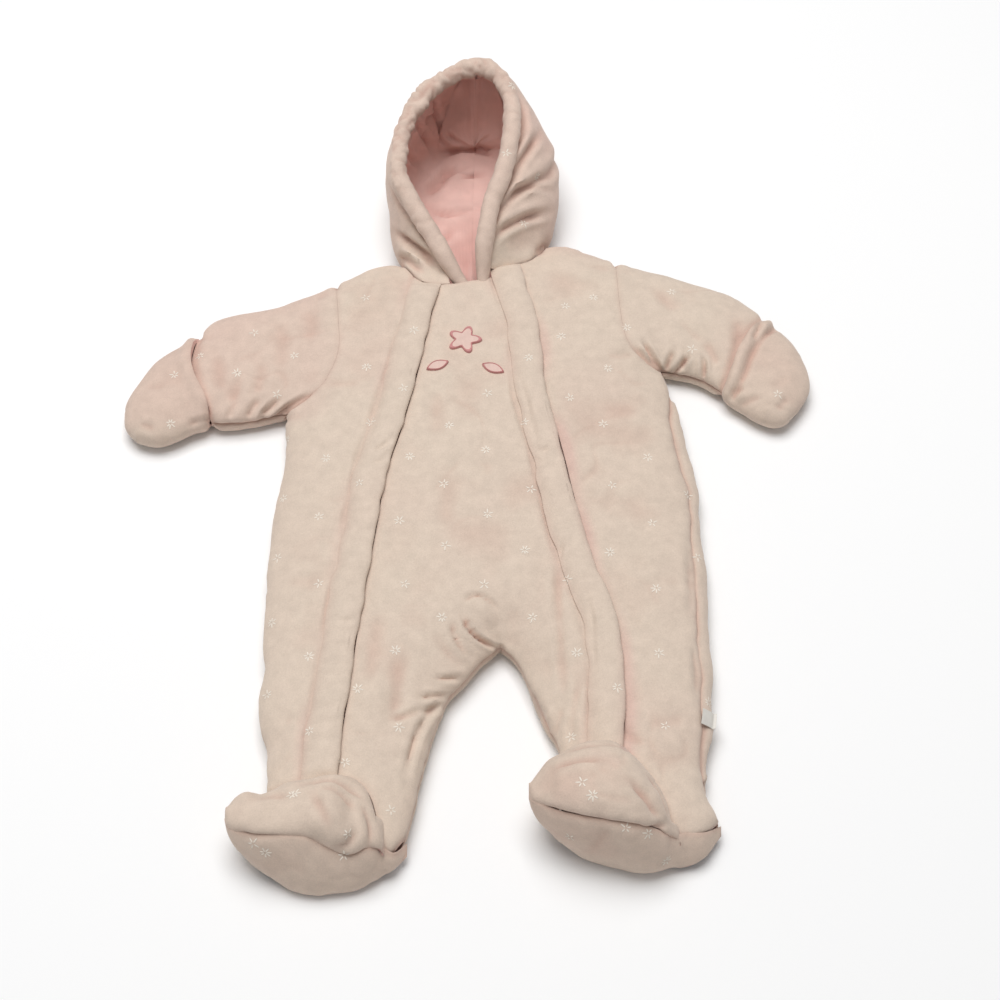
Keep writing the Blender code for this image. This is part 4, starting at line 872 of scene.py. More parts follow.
def clear_of_seam(points, inner):
    """Keeps the lining side of every panel on its own side of the side seams' level."""
    level = points[:, 2] - SEAM_Z
    z = inner[:, 2].copy()
    front = level > SEAM_GAP / 4
    back = level < -SEAM_GAP / 4
    z[front] = np.maximum(z[front], SEAM_Z + SEAM_GAP / 2)
    z[back] = np.minimum(z[back], SEAM_Z - SEAM_GAP / 2)
    z[~front & ~back] = SEAM_Z
    return np.column_stack([inner[:, :2], z])


# ---- fronts, back, zips and guards ----

def turn_width(y):
    """How far the back comes round onto the front at the wearer's left side."""
    return TURNED_BACK * ease((45 - y) / 60) * ease((y + 335) / 90)


def inward_step(line, amount):
    """A line moved to its left by an amount at each point."""
    return line + unit(left_of(np.gradient(line, axis=0))) * amount[:, None]


def top_edge(shoulder, neck, columns):
    """The top of an outer panel, from the armhole over the shoulder and along the neck."""
    over = columns * 5 // 9
    return chain(shares(turned(shoulder), graded(over, True)),
                 shares(neck, graded(columns - over)))


def side_front_grids():
    """Plan grids of the two outer fronts, rows from the ankle up, zip edge last."""
    grids = []
    plans = [
        (RIGHT_SIDE, RIGHT_ARMHOLE, RIGHT_ZIP, RIGHT_SHOULDER, NECK_FRONT_RIGHT,
         RIGHT_ANKLE_OUTER),
        (LEFT_SIDE, LEFT_ARMHOLE, LEFT_ZIP, LEFT_SHOULDER, turned(NECK_FRONT_LEFT),
         turned(LEFT_ANKLE_OUTER)),
    ]
    for side, armhole, zip_table, shoulder, neck, ankle in plans:
        seam = shares(turned(side), graded(SIDE_ROWS))
        if side is LEFT_SIDE:
            seam = inward_step(seam, turn_width(seam[:, 1]))
        seam = chain(seam, shares(turned(armhole), graded(ARMHOLE_ROWS, False, True)))
        zip_edge = shares(turned(zip_table), fractions_of(seam))
        top = top_edge(shoulder, neck, FRONT_COLUMNS)
        low = shares(ankle, graded(FRONT_COLUMNS, True))
        grid = drawn_in(coons(seam, zip_edge, low, top), SEAM_GAP / 2, ["left", "low", "high"])
        grids.append(drawn_in(grid, ZIP_CHANNEL / 2, ["right"]))
    return grids


def fork_rows(table, upper, lower):
    """Places along a zip, level with the rows of the middle above and below the fork."""
    line = smooth_line(table)
    fork = np.interp(-MIDDLE_FRONT[-1][1], -line[:, 1], fractions_of(line))
    return along(line, np.concatenate([upper * fork, fork + (1 - fork) * lower[1:]]))


def centre_front_grids():
    """Plan grids of the two halves of the middle front, rows from the neck down."""
    upper, lower = graded(CENTRE_ROWS, False, True), graded(LEG_ROWS, True)
    middle = shares(MIDDLE_FRONT, upper)
    halves = [
        (RIGHT_ZIP, RIGHT_INNER_LEG, NECK_FRONT_MIDDLE_RIGHT, RIGHT_ANKLE_INNER),
        (LEFT_ZIP, LEFT_INNER_LEG, turned(NECK_FRONT_MIDDLE_LEFT), turned(LEFT_ANKLE_INNER)),
    ]
    grids = []
    for zip_table, leg, neck, ankle in halves:
        columns = graded(CENTRE_COLUMNS, False, True)
        grids.append(split_panel(
            fork_rows(zip_table, upper, lower), middle, shares(leg, lower),
            shares(neck, columns), shares(ankle, columns), ZIP_CHANNEL))
    return grids


def beside_zip(points, table):
    """Distance from a zip's middle line, above 0 on the wearer's right of it."""
    line = smooth_line(table)
    gap, near, best = nearest_on((line[:-1], line[1:]), points[:, :2])
    run = (line[1:] - line[:-1])[best]
    away = points[:, :2] - near
    return gap * np.sign(run[:, 1] * away[:, 0] - run[:, 0] * away[:, 1])


def under_guard(table):
    """Holds a panel down under the guard of a zip, with a dip along the guard's outer edge."""
    def cap(points):
        gap = beside_zip(points, table)
        dip = 1 + soft_noise(points, 26, 47)
        open_to = np.where(gap > 0, 0.1 - dip * np.exp(-((gap - 23.5) / 2.8) ** 2), 9)
        return open_to + 9 * ease((gap - 24) / 12)
    return cap


def build_fronts(suit):
    """The two outer fronts and the middle front with both inner legs."""
    right, left = side_front_grids()
    for node, grids, cap in (("front_side_right", [right], under_guard(RIGHT_ZIP)),
                             ("front_side_left", [left], None),
                             ("front_centre", centre_front_grids(), under_guard(LEFT_ZIP))):
        add_padded(node, [skin(grid, "front") for grid in grids], suit, keep=clear_of_seam,
                   folds=BODY_FOLDS, cap=cap)


def build_back(suit):
    """The whole back with both legs, and its strip turned onto the front at +X."""
    toe = graded(TOE_ROWS)
    middle = shares(MIDDLE_BACK, graded(BACK_ROWS + BODY_ROWS))
    columns = graded(BACK_COLUMNS, True, True)
    sides = [
        (RIGHT_ARMHOLE, RIGHT_SIDE, RIGHT_TOE_SIDE, RIGHT_SHOULDER, NECK_BACK_RIGHT,
         RIGHT_UNDERFOOT),
        (LEFT_ARMHOLE, LEFT_SIDE, [], LEFT_SHOULDER, turned(NECK_BACK_LEFT),
         turned(LEFT_UNDERFOOT)),
    ]
    patches = []
    for armhole, side, toe_side, shoulder, neck, underfoot in sides:
        below = graded(SHIN_ROWS if toe_side else SHIN_ROWS + TOE_ROWS)[1:]
        down = np.concatenate([ABOVE_FORK * graded(BODY_ROWS), ABOVE_FORK + BELOW_FORK * below])
        outer = chain(shares(armhole, graded(BACK_ROWS, True)), shares(side, down))
        if toe_side:
            leg = shares(RIGHT_INNER_LEG, graded(SHIN_ROWS + TOE_ROWS, True))
            outer = chain(outer, shares(toe_side, toe))
        else:
            leg = chain(shares(LEFT_INNER_LEG, graded(SHIN_ROWS, True)),
                        shares(LEFT_TOE_SIDE, toe))
        grid = split_panel(outer, middle, leg, top_edge(shoulder, neck, BACK_COLUMNS),
                           shares(underfoot, columns), SEAM_GAP)
        patches.append(skin(grid, "back"))
    patches.append(turned_strip(*patches[1], outer))
    add_padded("back", patches, suit, keep=clear_of_seam, folds=BACK_FOLDS + BODY_FOLDS)


def turned_strip(points, normals, seam):
    """The strip of the back that comes round the wearer's left side onto the front."""
    widths = turn_width(seam[:, 1])
    rows = np.flatnonzero((widths > 1.5) & (np.arange(len(seam)) > BACK_ROWS))
    backwards = seam[::-1]
    strip = [inward_step(backwards, share * (widths[::-1] - SEAM_GAP))[::-1][rows]
             for share in (0.08, 0.2, 0.35, 0.5, 0.67, 0.84, 1.0)]
    over, over_normals = skin(np.stack(strip, 1), "front")
    return (np.concatenate([points[rows, :1], over], axis=1),
            np.concatenate([normals[rows, :1], over_normals], axis=1))


def tube_faces(count, size):
    """Faces of a closed tube: quads between its rings and a cap at both ends."""
    ids = np.arange(count * size).reshape(count, size)
    quads = np.stack([ids[:-1], np.roll(ids[:-1], -1, 1), np.roll(ids[1:], -1, 1), ids[1:]], 2)
    return quads.reshape(-1, 4).tolist() + [ids[0][::-1].tolist(), ids[-1].tolist()]


def add_tube(name, rings, suit, finishes, depth=None, blush=None):
    """A closed piece through rings of points."""
    return add_mesh(name, rings.reshape(-1, 3), tube_faces(*rings.shape[:2]), suit, finishes,
                    depth=depth, blush=blush)


def zip_place(table, count, trim):
    """Even places along a zip, short of its ends, with the direction to the wearer's right."""
    line = smooth_line(table)
    length = np.linalg.norm(np.diff(line, axis=0), axis=1).sum()
    line = along(line, np.linspace(trim / length, 1 - trim / length, count + 1))
    return line, -unit(left_of(np.gradient(line, axis=0))), length - 2 * trim


GUARD_SECTION = [(-0.8, 0.0), (-1.9, 0.5), (-2.3, 1.5), (-2.1, 2.7), (-1.2, 3.9), (0.6, 4.9),
                 (3.6, 5.6), (7.0, 5.8), (10.5, 5.4), (14.0, 4.5), (17.0, 3.2), (19.4, 1.9),
                 (21.2, 0.9), (22.3, 0.3), (21.0, 0.0)]
GUARD_FOLDS = [
    (-73, -42, 43, -65, -40, 45, -58, -31, 40, 2.0, -2.0),
    (-72, -52, 43, -66, -54, 45, -60, -48, 40, 1.8, -1.5),
    (62, -38, 44, 56, -44, 45, 48, -40, 43, 2.2, -2.2),
    (76, -128, 41, 68, -133, 43, 58, -131, 41, 2.2, -1.8),
    (92, -214, 35, 84, -218, 38, 75, -215, 38, 2.0, -1.5),
    (-92, -190, 35, -85, -194, 38, -78, -190, 38, 2.0, -1.5),
    (70, -126, 44, 66, -137, 43, 64, -149, 41, 1.6, -3.8),
    (85, -165, 41, 89, -200, 40, 88, -236, 37, 1.8, -1.8),
    (38, 30, 42, 46, -8, 44, 54, -42, 44, 2.2, -1.6),
    (-64, 60, 42, -70, 10, 43, -78, -40, 43, 2.4, -1.2),
]


def build_guards(suit):
    """The padded strips beside both zips, each on the wearer's right of its zip."""
    for node, table in (("placket_right", RIGHT_ZIP), ("placket_left", LEFT_ZIP)):
        line, square, length = zip_place(table, GUARD_STEPS, 0.6)
        onward = (line[-1] - line[-5]) / np.linalg.norm(line[-1] - line[-5])
        line = np.concatenate([line[:-1], line[-1] + np.outer((0, 3, 6, 9), onward)])
        square = np.concatenate([square, np.repeat(square[-1:], 3, axis=0)])
        section = smooth_line(GUARD_SECTION, 3)
        open_zip = 2.0 * np.exp(-((line[:, 1] + 52) / 42) ** 2) * (node == "placket_left")
        across = section[None, :, 0] + (open_zip + 0.8 * soft_noise(
            np.column_stack([line, line[:, 0]]), 11, 46))[:, None] * (section[:, 0] < 2)
        under = skin(line[:, None] + square[:, None] * across[:, :, None], "front")[0]
        run = np.repeat(under[:, :1], len(section), axis=1).reshape(-1, 3)
        flat = under.reshape(-1, 3)
        share = np.tile(section[:, 1] / 5.8, len(line))
        swell = 1 + 0.15 * soft_noise(run, 27, 41) + 0.05 * soft_noise(flat, 9, 42)
        height = suit.sizes.guard_height / MM * share * swell
        start = np.arange(len(line)) * length / GUARD_STEPS
        ends = np.repeat(np.minimum(start, start[::-1]), len(section))
        height *= 0.12 + 0.88 * ease(ends / 9)
        gathers = soft_noise(run, 7.5, 43) + 0.5 * soft_noise(run, 4.5, 44)
        height += 0.6 * gathers * np.tile(np.sin(np.pi * fractions_of(section)) ** 2, len(line))
        up = np.broadcast_to([0, 0, 1.0], flat.shape)
        top = flat + up * (GUARD_CLEAR + np.maximum(height, 0))[:, None]
        top[:, 2] += fold_relief(top, up, GUARD_FOLDS) * share
        waver = 1.7 * soft_noise(run, 16, 45) * np.tile(np.clip((section[:, 0] - 10) / 12, 0, 1),
                                                        len(line))
        top[:, :2] += np.repeat(square, len(section), axis=0) * waver[:, None]
        # Painted shade along the guard's low edges, where it meets the panel.
        edge = np.tile(np.exp(-np.maximum(section[:, 1], 0) / 1.3), len(line))
        piece = add_tube(f"{node}_velour", top.reshape(under.shape),
                         suit, ["velour"], depth=edge * 0.3,
                         blush=blush_at(flat) * 0.6)
        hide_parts(node)


def build_zips(suit):
    """Both closed zips: the woven tape under the channel and the two rows of moulded teeth."""
    for node, table in (("zip_right", RIGHT_ZIP), ("zip_left", LEFT_ZIP)):
        line, square, length = zip_place(table, TAPE_STEPS, 4)
        half, top, low = ZIP_TAPE / 2, ZIP_TAPE_THICK - ZIP_DEPTH, -ZIP_DEPTH
        section = np.array([(-half, low), (half, low), (half, top), (2, top), (0, top + 0.1),
                            (-2, top), (-half, top)])
        rings = skin(line[:, None] + square[:, None] * section[None, :, :1], "front")[0]
        rings[..., 2] += section[:, 1]
        tape = add_tube(f"{node}_tape", rings, suit, ["tape"])
        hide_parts(node)
        line, square, _ = zip_place(table, int(length / 1.5), 5)
        middle = skin(line, "front")[0]
        points = []
        for k, (place, side) in enumerate(zip(middle, square)):
            along_zip = np.array([side[1], -side[0]])
            shift = side * (0.55 if k % 2 else -0.55)
            for level, wide in ((top, 1.0), (top + 1.5, 1.0), (top + 2.3, 0.6)):
                for a, b in ((-1, -1), (1, -1), (1, 1), (-1, 1)):
                    plan = place[:2] + shift + side * a * wide + along_zip * b * 0.62 * wide
                    points.append((plan[0], plan[1], place[2] + level))
        faces = [[v + 12 * k for v in face] for k in range(len(middle))
                 for face in tube_faces(3, 4)]
        teeth = add_mesh(f"{node}_teeth", points, faces, suit, ["teeth"])


# ---- sleeves and mitts ----

def fold_sides(pair, sides):
    """Sets the named sides of a skin on the fold itself, facing straight out."""
    points, normals = pair[0].copy(), pair[1].copy()
    edges = {"left": np.s_[:, 0], "right": np.s_[:, -1], "high": np.s_[-1, :]}
    for side in sides:
        points[edges[side] + (2,)] = SEAM_Z
        normals[edges[side]] = unit(normals[edges[side]] * (1, 1, 0))
    return points, normals


ARMS = {
    "right": (RIGHT_ARMHOLE, RIGHT_SLEEVE_LOW, RIGHT_SLEEVE_TOP, RIGHT_CUFF, RIGHT_MITT_LOW,
              RIGHT_MITT_TOP, RIGHT_MITT_TIP),
    "left": (LEFT_ARMHOLE, LEFT_SLEEVE_LOW, LEFT_SLEEVE_TOP, LEFT_CUFF, LEFT_MITT_LOW,
             LEFT_MITT_TOP, LEFT_MITT_TIP),
}


def from_cuff(points, cuff):
    """Distance in plan from the line where the mitt's edge lies over the sleeve."""
    line = smooth_line(cuff)
    return nearest_on((line[:-1], line[1:]), points[:, :2])[0]


def build_sleeves(suit):
    """Both sleeves: folded at the upper edge, seamed under the arm."""
    for side, (armhole, low, top, cuff, *_) in ARMS.items():
        columns = graded(SLEEVE_COLUMNS, True, True)
        rows = graded(SLEEVE_ROWS)
        grid = coons(shares(turned(low), rows), shares(top, rows),
                     shares(turned(armhole), columns), shares(cuff, columns))
        grid = drawn_in(grid, SEAM_GAP, ["low", "high"])

        def tucked(points, cuff=cuff):
            open_top = ease((points[:, 1] - 20) / 40)
            return -(0.6 + 2.2 * open_top) * np.exp(-(from_cuff(points, cuff) / 5) ** 2)
        patches = [fold_sides(skin(grid, face), ["right"]) for face in ("front", "back")]
        add_padded(f"sleeve_{side}", patches, suit, fold=outline_fold, keep=clear_of_seam,
                   folds=BODY_FOLDS + BACK_FOLDS, shaped=tucked)


def build_mitts(suit):
    """Both fold-over mitts, closed all round, each with the rolled edge of its mouth."""
    for side, (*_, cuff, low, top, tip) in ARMS.items():
        columns = graded(SLEEVE_COLUMNS, True, True)
        rows = graded(MITT_ROWS, False, True)
        grid = coons(shares(turned(low), rows), shares(top, rows), shares(cuff, columns),
                     shares(turned(tip), columns))
        grid = drawn_in(grid, SEAM_GAP / 2, ["low"])
        front = skin(grid, "front")
        gap = inset(grid.reshape(-1, 2), "front")[0].reshape(grid.shape[:2])
        lip = MITT_LIP * ease(1 - 2.5 * rows)[:, None]
        front[0][..., 2] += lip * ease(gap / 15)

        def rolled(points, cuff=cuff, side=side):
            gap = from_cuff(points, cuff)
            top_side = ease((points[:, 2] - SEAM_Z) / 6)
            if side == "right":
                edge = 1.9 * np.exp(-((gap - 5.5) / 4.2) ** 2) + 1.4 * np.exp(-gap / 1.5)
            else:
                edge = 2.0 * np.exp(-((gap - 4.5) / 3.6) ** 2)
                edge -= 3.4 * np.exp(-((gap - 11.5) / 2.7) ** 2)
            return edge * top_side
        folded = ["left", "right", "high"]
        patches = [fold_sides(front, folded), fold_sides(skin(grid, "back"), folded)]
        # shade paints the whole mitt darker: painted shade where it faces away from the light.
        add_padded(f"mitt_{side}", patches, suit, full=MITT_WALL, fold=outline_fold,
                   keep=clear_of_seam, folds=MITT_FOLDS, shaped=rolled, pink_edge=True,
                   shade=0.1)


# ---- hood ----

def hood_lines(table, side):
    """Lines along a hood side: at the rim, at the widest place and at the bottom seam."""
    rows = np.array(table, float)
    rim, wide, seam = rows[:, :3], rows[:, 3:6], rows[:, 6:]
    run = unit(np.gradient(rim, axis=0))
    outward = wide - rim
    outward = unit(outward - run * np.sum(outward * run, axis=1)[:, None])
    edge = rim + (RIM_RADIUS + RIM_CLEAR) * outward
    middle = CROWN_TOP[0]
    crown_wide = (middle + side * (CROWN_WIDE[0] - middle), *CROWN_WIDE[1:])
    edge = np.vstack([edge, CROWN_TOP, END_TOP])
    wide = np.vstack([wide, crown_wide, END_WIDE])
    seam = np.vstack([seam, CROWN_SEAM, END_SEAM])
    return edge, wide, seam


def hood_section(edge, wide, seam):
    """One section of a hood side, from the rim over the widest place to the bottom seam."""
    angles = np.linspace(0, np.pi / 2, HOOD_UPPER + 1)[:, None]
    corner = np.array([edge[0], edge[1], wide[2]])
    upper = corner + (wide - corner) * np.sin(angles) + (edge - corner) * np.cos(angles)
    angles = np.linspace(0, np.pi / 2, HOOD_LOWER + 1)[:, None]
    corner = np.array([seam[0], seam[1], wide[2]])
    flat = 2 / FLOOR_SQUARENESS
    lower = (corner + (wide - corner) * np.maximum(np.cos(angles), 0) ** flat
             + (seam - corner) * np.sin(angles) ** flat)
    lower[-1] = seam
    return chain(upper, lower)


def neck_ring(side):
    """The hood's first row: along the front neckline, then along the back of the neck."""
    front_table, back_table, middle_table = {
        -1: (NECK_FRONT_RIGHT, NECK_BACK_RIGHT, NECK_FRONT_MIDDLE_RIGHT),
        1: (turned(NECK_FRONT_LEFT), turned(NECK_BACK_LEFT), turned(NECK_FRONT_MIDDLE_LEFT)),
    }[side]
    middle = shares(middle_table, np.linspace(0.35, 0, 8))
    front = along(chain(middle, smooth_line(front_table)[::-1]),
                  np.linspace(0, 1, HOOD_UPPER + 1))
    toward = unit(np.array(NECK_HEART) - front)
    front += toward * SEAM_GAP * (1 + 2 * ease(2.2 - np.arange(len(front)) / 8))[:, None]
    back = shares(back_table, graded(HOOD_LOWER)) + np.array([0, SEAM_GAP])
    front_points, front_normals = skin(front, "front")
    back_points, back_normals = skin(back, "back")
    front_points[-1, 2] = SEAM_Z
    front_normals[-1] = (side, 0, 0)
    return chain(front_points, back_points), chain(front_normals, back_normals)


def middle_level(points):
    """Where the hood's middle seam runs, as x for each point's y."""
    rows = np.array(HOOD_RIGHT, float)
    return np.interp(points[..., 1], rows[:, 7], rows[:, 6])


def beside_middle(points, side):
    """Keeps one hood side on its own side of the middle seam."""
    level = middle_level(points)
    away = np.maximum(side * (points[..., 0] - level), SEAM_GAP / 2)
    return np.concatenate([(level + side * away)[..., None], points[..., 1:]], axis=-1)


def pinned(points, moved, side):
    """Keeps what lies on the hood's middle seam there, so that its two sides meet."""
    away = side * (points[..., 0] - middle_level(points))
    out = moved.copy()
    bend = (middle_level(moved) - middle_level(points)) * ease((20 - away) / 20)
    out[..., 0] = points[..., 0] + (moved[..., 0] - points[..., 0]) * ease(away / 5) + bend
    return beside_middle(out, side)


def hood_side(table, side):
    """Points and normals over one hood side, rows from the neck to the crown."""
    ring, ring_normals = neck_ring(side)
    sections = [ring] + [hood_section(*places) for places in zip(*hood_lines(table, side))]
    grid = smooth_line(np.array(sections), HOOD_ROWS_PER_SPAN)
    level = middle_level(grid)
    for row, kept in ((-1, 0), (-2, 0.6), (-3, 0.85)):
        grid[row, :, 0] = level[row] + (grid[row, :, 0] - level[row]) * kept
    crest = -HOOD_ROWS_PER_SPAN
    for column, kept in ((0, 0), (1, 0.6), (2, 0.85)):
        reach = grid[crest:, column, 0] - level[crest:, column]
        grid[crest:, column, 0] = level[crest:, column] + reach * kept
    grid[1:] = beside_middle(grid[1:], side)
    grid[0, -1, 0] += side * SEAM_GAP / 2
    grid[..., 2] = np.maximum(grid[..., 2], 0)
    normals = grid_normals(grid, HOOD_HEART)
    for row, share in enumerate((1, 0.7, 0.35)):
        normals[row] = unit(normals[row] * (1 - share) + ring_normals * share)
    run = np.gradient(grid[-1], axis=0)
    closing = np.column_stack([0 * run[:, 0], -run[:, 2], run[:, 1]])
    closing *= np.sign(np.sum(closing * (grid[-1] - HOOD_HEART), axis=1))[:, None]
    normals[-1] = unit(closing)
    return grid, normals


def build_hood(suit):
    """The two padded sides of the hood, sewn along the middle, the rim and the neck."""
    for label, table, side in HOOD_SIDES:
        def beside(points, moved, side=side):
            return pinned(points, moved, side)
        add_padded(f"hood_{label}", [hood_side(table, side)], suit, full=HOOD_WALL, keep=beside,
                   hold=beside, folds=HOOD_FOLDS, groove=0.7, puff=1.2)


def build_lining(suit):
    """The jersey lining of both hood sides, loose enough to crease across the back."""
    for label, table, side in HOOD_SIDES:
        grid, normals = hood_side(table, side)
        lined = pinned(grid, grid - normals * (HOOD_WALL + SEAM_GAP), side)
        down = lined[:1] - np.array([[[0, 24.0, 0]], [[0, 16.0, 0]], [[0, 8.0, 0]]])
        lined = np.concatenate([down, lined])
        normals = np.concatenate([np.repeat(normals[:1], 3, axis=0), normals])
        points, normals, quads = weld([(lined, -normals)])
        rim = rim_edges(quads)
        reach, near, _ = nearest_on((points[rim[:, 0]], points[rim[:, 1]]), points)
        away = np.abs(points[:, 0] - middle_level(points))
        y, z = points[:, 1], points[:, 2]
        # The crown's lining is slack: it bags down and turns its face to the opening.
        beyond = y - 300 - 0.5 * z - 4 * soft_noise(points * (1, 0, 1), 22, 54)
        bagged = (beyond + np.hypot(beyond, 5)) / 2 - 2.5
        level = middle_level(points)
        points = points - 0.9 * np.maximum(bagged, 0)[:, None] * (0, 1, 0)
        points[:, 0] += middle_level(points) - level
        facing = (ease(bagged / 8) * ease((z - 12) / 14))[:, None]
        normals = unit(normals * (1 - facing) + facing * (0, -0.89, 0.45))
        soft = np.maximum(reach, 10 * np.exp(-(away / 6) ** 2))
        lift = LINING_WALL + 5.0 * ease(soft / 14) * (0.8 + soft_noise(points, 26, 51) * 0.45)
        lift += 1.1 * ease(soft / 9) * soft_noise(points * (1, 0.45, 1), 10, 52)
        gathers = soft_noise(near, 7, 53) * (reach / 4) * np.exp(1 - reach / 4)
        lift += 0.7 * gathers * ease(away / 14) - 1.4 * np.exp(-(soft / 2.4) ** 2)
        lift += fold_relief(points, normals, LINING_FOLDS)
        lift = np.maximum(lift, 0.7)
        face = pinned(points, points + normals * lift[:, None], side)
        # Painted shade: darker in the creases, where the lift is low, and over the lining towards
        # the neck, below y 275.
        deep = np.clip(0.75 - lift / 6 + 0.5 * ease((275 - y) / 60), 0, 1)
        node = f"hood_lining_{label}"
        piece = add_mesh(f"{node}_jersey", np.vstack([face, points]),
                         both_sides(without_doubles(quads), rim, len(points)),
                         suit, ["jersey"], depth=np.tile(deep, 2))
        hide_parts(node)


def build_rim(suit):
    """The rolled casing round the face opening, gathered by the elastic inside it."""
    right = [row[:3] for row in HOOD_RIGHT]
    left = [row[:3] for row in HOOD_LEFT]
    line = np.array([RIM_END_RIGHT] + right + left[-2::-1] + [RIM_END_LEFT], float)
    share = np.linspace(0, 1, RIM_STEPS)
    line = along(smooth_line(line), share)
    tuck = ease(1 - np.minimum(share, 1 - share) / 0.05)
    line += tuck[:, None] * np.where(share < 0.5, 7.5, 1.5)[:, None] * (1, 0, 0)
    line -= tuck[:, None] * (0, 8.0, 13.0)
    run = unit(np.gradient(line, axis=0))
    level = unit(np.cross(run, [0, 0, 1.0]))
    upright = np.cross(run, level)
    angles = np.linspace(0, 2 * np.pi, RIM_ROUND, endpoint=False)[None, :, None]
    round_it = level[:, None] * np.cos(angles) + upright[:, None] * np.sin(angles)
    flat = (line[:, None] + 7 * round_it).reshape(-1, 3)
    along_run = np.repeat(line, RIM_ROUND, axis=0)
    wander = soft_noise(along_run + 0.85 * (flat - along_run), 9.5, 61)
    finer = soft_noise(along_run + 0.6 * (flat - along_run), 5, 62)
    ruffle = 1.1 * np.abs(wander) ** 0.7 + 0.8 * np.abs(finer) ** 0.7 - 1.0
    share = np.repeat(share, RIM_ROUND)
    at_top = 0.35 + 1.15 * np.exp(-((share - 0.42) / 0.18) ** 2)
    radius = RIM_RADIUS + 0.5 + ruffle * 1.9 * at_top + 0.5 * soft_noise(along_run, 22, 63)
    radius = np.maximum(radius, RIM_RADIUS - 1.0)
    radius *= 1 - 0.36 * np.repeat(tuck, RIM_ROUND)
    rings = line[:, None] + round_it * radius.reshape(RIM_STEPS, RIM_ROUND, 1)
    # Painted shade in the hollows between the ruffles.
    deep = np.clip(-0.1 - ruffle * 0.6 * at_top, 0, 1)
    piece = add_tube("hood_rim_velour", rings, suit, ["velour"], depth=deep,
                     blush=np.full(len(deep), 0.4))
    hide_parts("hood_rim")


# ---- feet ----

def quarter(start, corner, stop, count):
    """A quarter ellipse in the y-z plane that leaves start along corner-stop."""
    angles = np.linspace(0, np.pi / 2, count)[:, None]
    start, corner, stop = (np.array(place, float) for place in (start, corner, stop))
    return corner + (start - corner) * np.cos(angles) + (stop - corner) * np.sin(angles)


def at_x(x, section):
    """A y-z section placed at a station."""
    return np.column_stack([np.full(len(section), x), section])


def foot_rows(table):
    """Rows of the foot's top, and of the part that goes on under the toe."""
    over, under = [], []
    for number, (x, top_y, top_z, low_y, low_z, peak_y, peak_z, ankle_y, ankle_z) in enumerate(
            table):
        slack = TIP_SLACK if number == 0 else 0
        top = (top_y + slack, top_z + SEAM_GAP / 2)
        low = (low_y + slack, low_z - SEAM_GAP / 2)
        below = skin(np.array([[x, ankle_y + 2.2]]), "front")[0][0, 2] - 1.0
        crook = np.exp(-((x + 66) / 10) ** 2)
        ankle_z = min(ankle_z, below) if number >= TOE_STATIONS - 1 else ankle_z
        peak, ankle = (peak_y, peak_z), (ankle_y + 2.2 + 3 * crook, ankle_z - 1.5 - 2 * crook)
        rise = quarter(top, (peak[0], top[1]), peak, 15)
        fall = quarter(ankle, (peak[0], ankle[1]), peak, 17)[::-1]
        over.append(at_x(x, chain(rise, fall)))
        ground = ((low[0] + ankle[0]) / 2, max(0.0, low[1] - 6))
        down = quarter(ankle, (ground[0], ankle[1]), ground, 10)
        forward = quarter(low, (ground[0], low[1]), ground, 10)[::-1]
        under.append(at_x(x, chain(down, forward)))
    return np.array(over), np.array(under)


def turned_end(rows):
    """Rounds the last section of a foot down onto the leg beside it."""
    last = rows[-1]
    base = np.linspace(last[0, 2], last[-1, 2], len(last))
    ends = []
    for angle in np.radians((18, 36, 54, 70, 82)):
        section = last.copy()
        section[:, 0] += 6.5 * np.sin(angle)
        section[:, 2] = base - 5 * np.sin(angle) + (last[:, 2] - base) * np.cos(angle)
        ends.append(section)
    return np.concatenate([rows, ends])


def build_feet(suit):
    """The foot tops, closed under the toe."""
    ahead = np.array([0, -1.0, 0])
    for label, table in (("right", RIGHT_FOOT), ("left", LEFT_FOOT)):
        over, under = foot_rows(table)
        whole = np.concatenate([over, under[:, 1:]], axis=1)
        over = turned_end(smooth_line(over, FOOT_ROWS_PER_SPAN))
        whole = smooth_line(whole, FOOT_ROWS_PER_SPAN)[:(TOE_STATIONS - 1) * FOOT_ROWS_PER_SPAN + 1]
        middle = (over.reshape(-1, 3).max(axis=0) + over.reshape(-1, 3).min(axis=0)) / 2
        normals = grid_normals(over, middle)
        wrapped = grid_normals(whole, middle)
        normals[1:, 0] = normals[1:, 0] + ahead
        wrapped[1:, -1] = ahead
        for end in (normals[-1], wrapped[-1]):
            end[:, 0] = 0
        seam = over.shape[1] - 1
        patches = [(over, unit(normals)), (whole[:, seam:], unit(wrapped)[:, seam:])]
        # shade paints the whole foot top a little darker: painted shade where it faces away from
        # the light.
        add_padded(f"foot_top_{label}", patches, suit, full=FOOT_WALL, folds=FOOT_FOLDS,
                   puff=1.0, groove=0.8, shade=0.06)


def build_soles(suit):
    """The padded soles that face the foot end."""
    for label, table, heel in (("right", RIGHT_FOOT, RIGHT_HEEL), ("left", LEFT_FOOT, LEFT_HEEL)):
        rows = []
        for x, top_y, top_z, low_y, low_z in [row[:5] for row in table] + heel:
            share = np.linspace(0, 1, 25)
            swell = SOLE_BULGE * min(1, (top_z - low_z) / 50) * np.sin(np.pi * share) ** 0.7
            y = top_y + (low_y - top_y) * share - swell
            z = top_z - SEAM_GAP / 2 + (low_z - top_z + SEAM_GAP) * share
            rows.append(at_x(x, np.column_stack([y, z])))
        sole = smooth_line(np.array(rows), FOOT_ROWS_PER_SPAN)
        ahead = np.broadcast_to([0, -1.0, 0], sole.shape)
        ends = sole[0, 0, 0], sole[-1, 0, 0]

        def held(points, ends=ends):
            return 3 * ease(np.minimum(points[:, 0] - ends[0], ends[1] - points[:, 0]) / 16)
        # shade paints the whole sole darker: painted shade, as the soles face sideways, away from
        # the light above.
        add_padded(f"sole_{label}", [(sole, ahead)], suit, full=SOLE_WALL, sewn=SOLE_SEWN,
                   groove=0.5, puff=1.1, cap=held, shade=0.14)


# ---- label, applique and stars ----

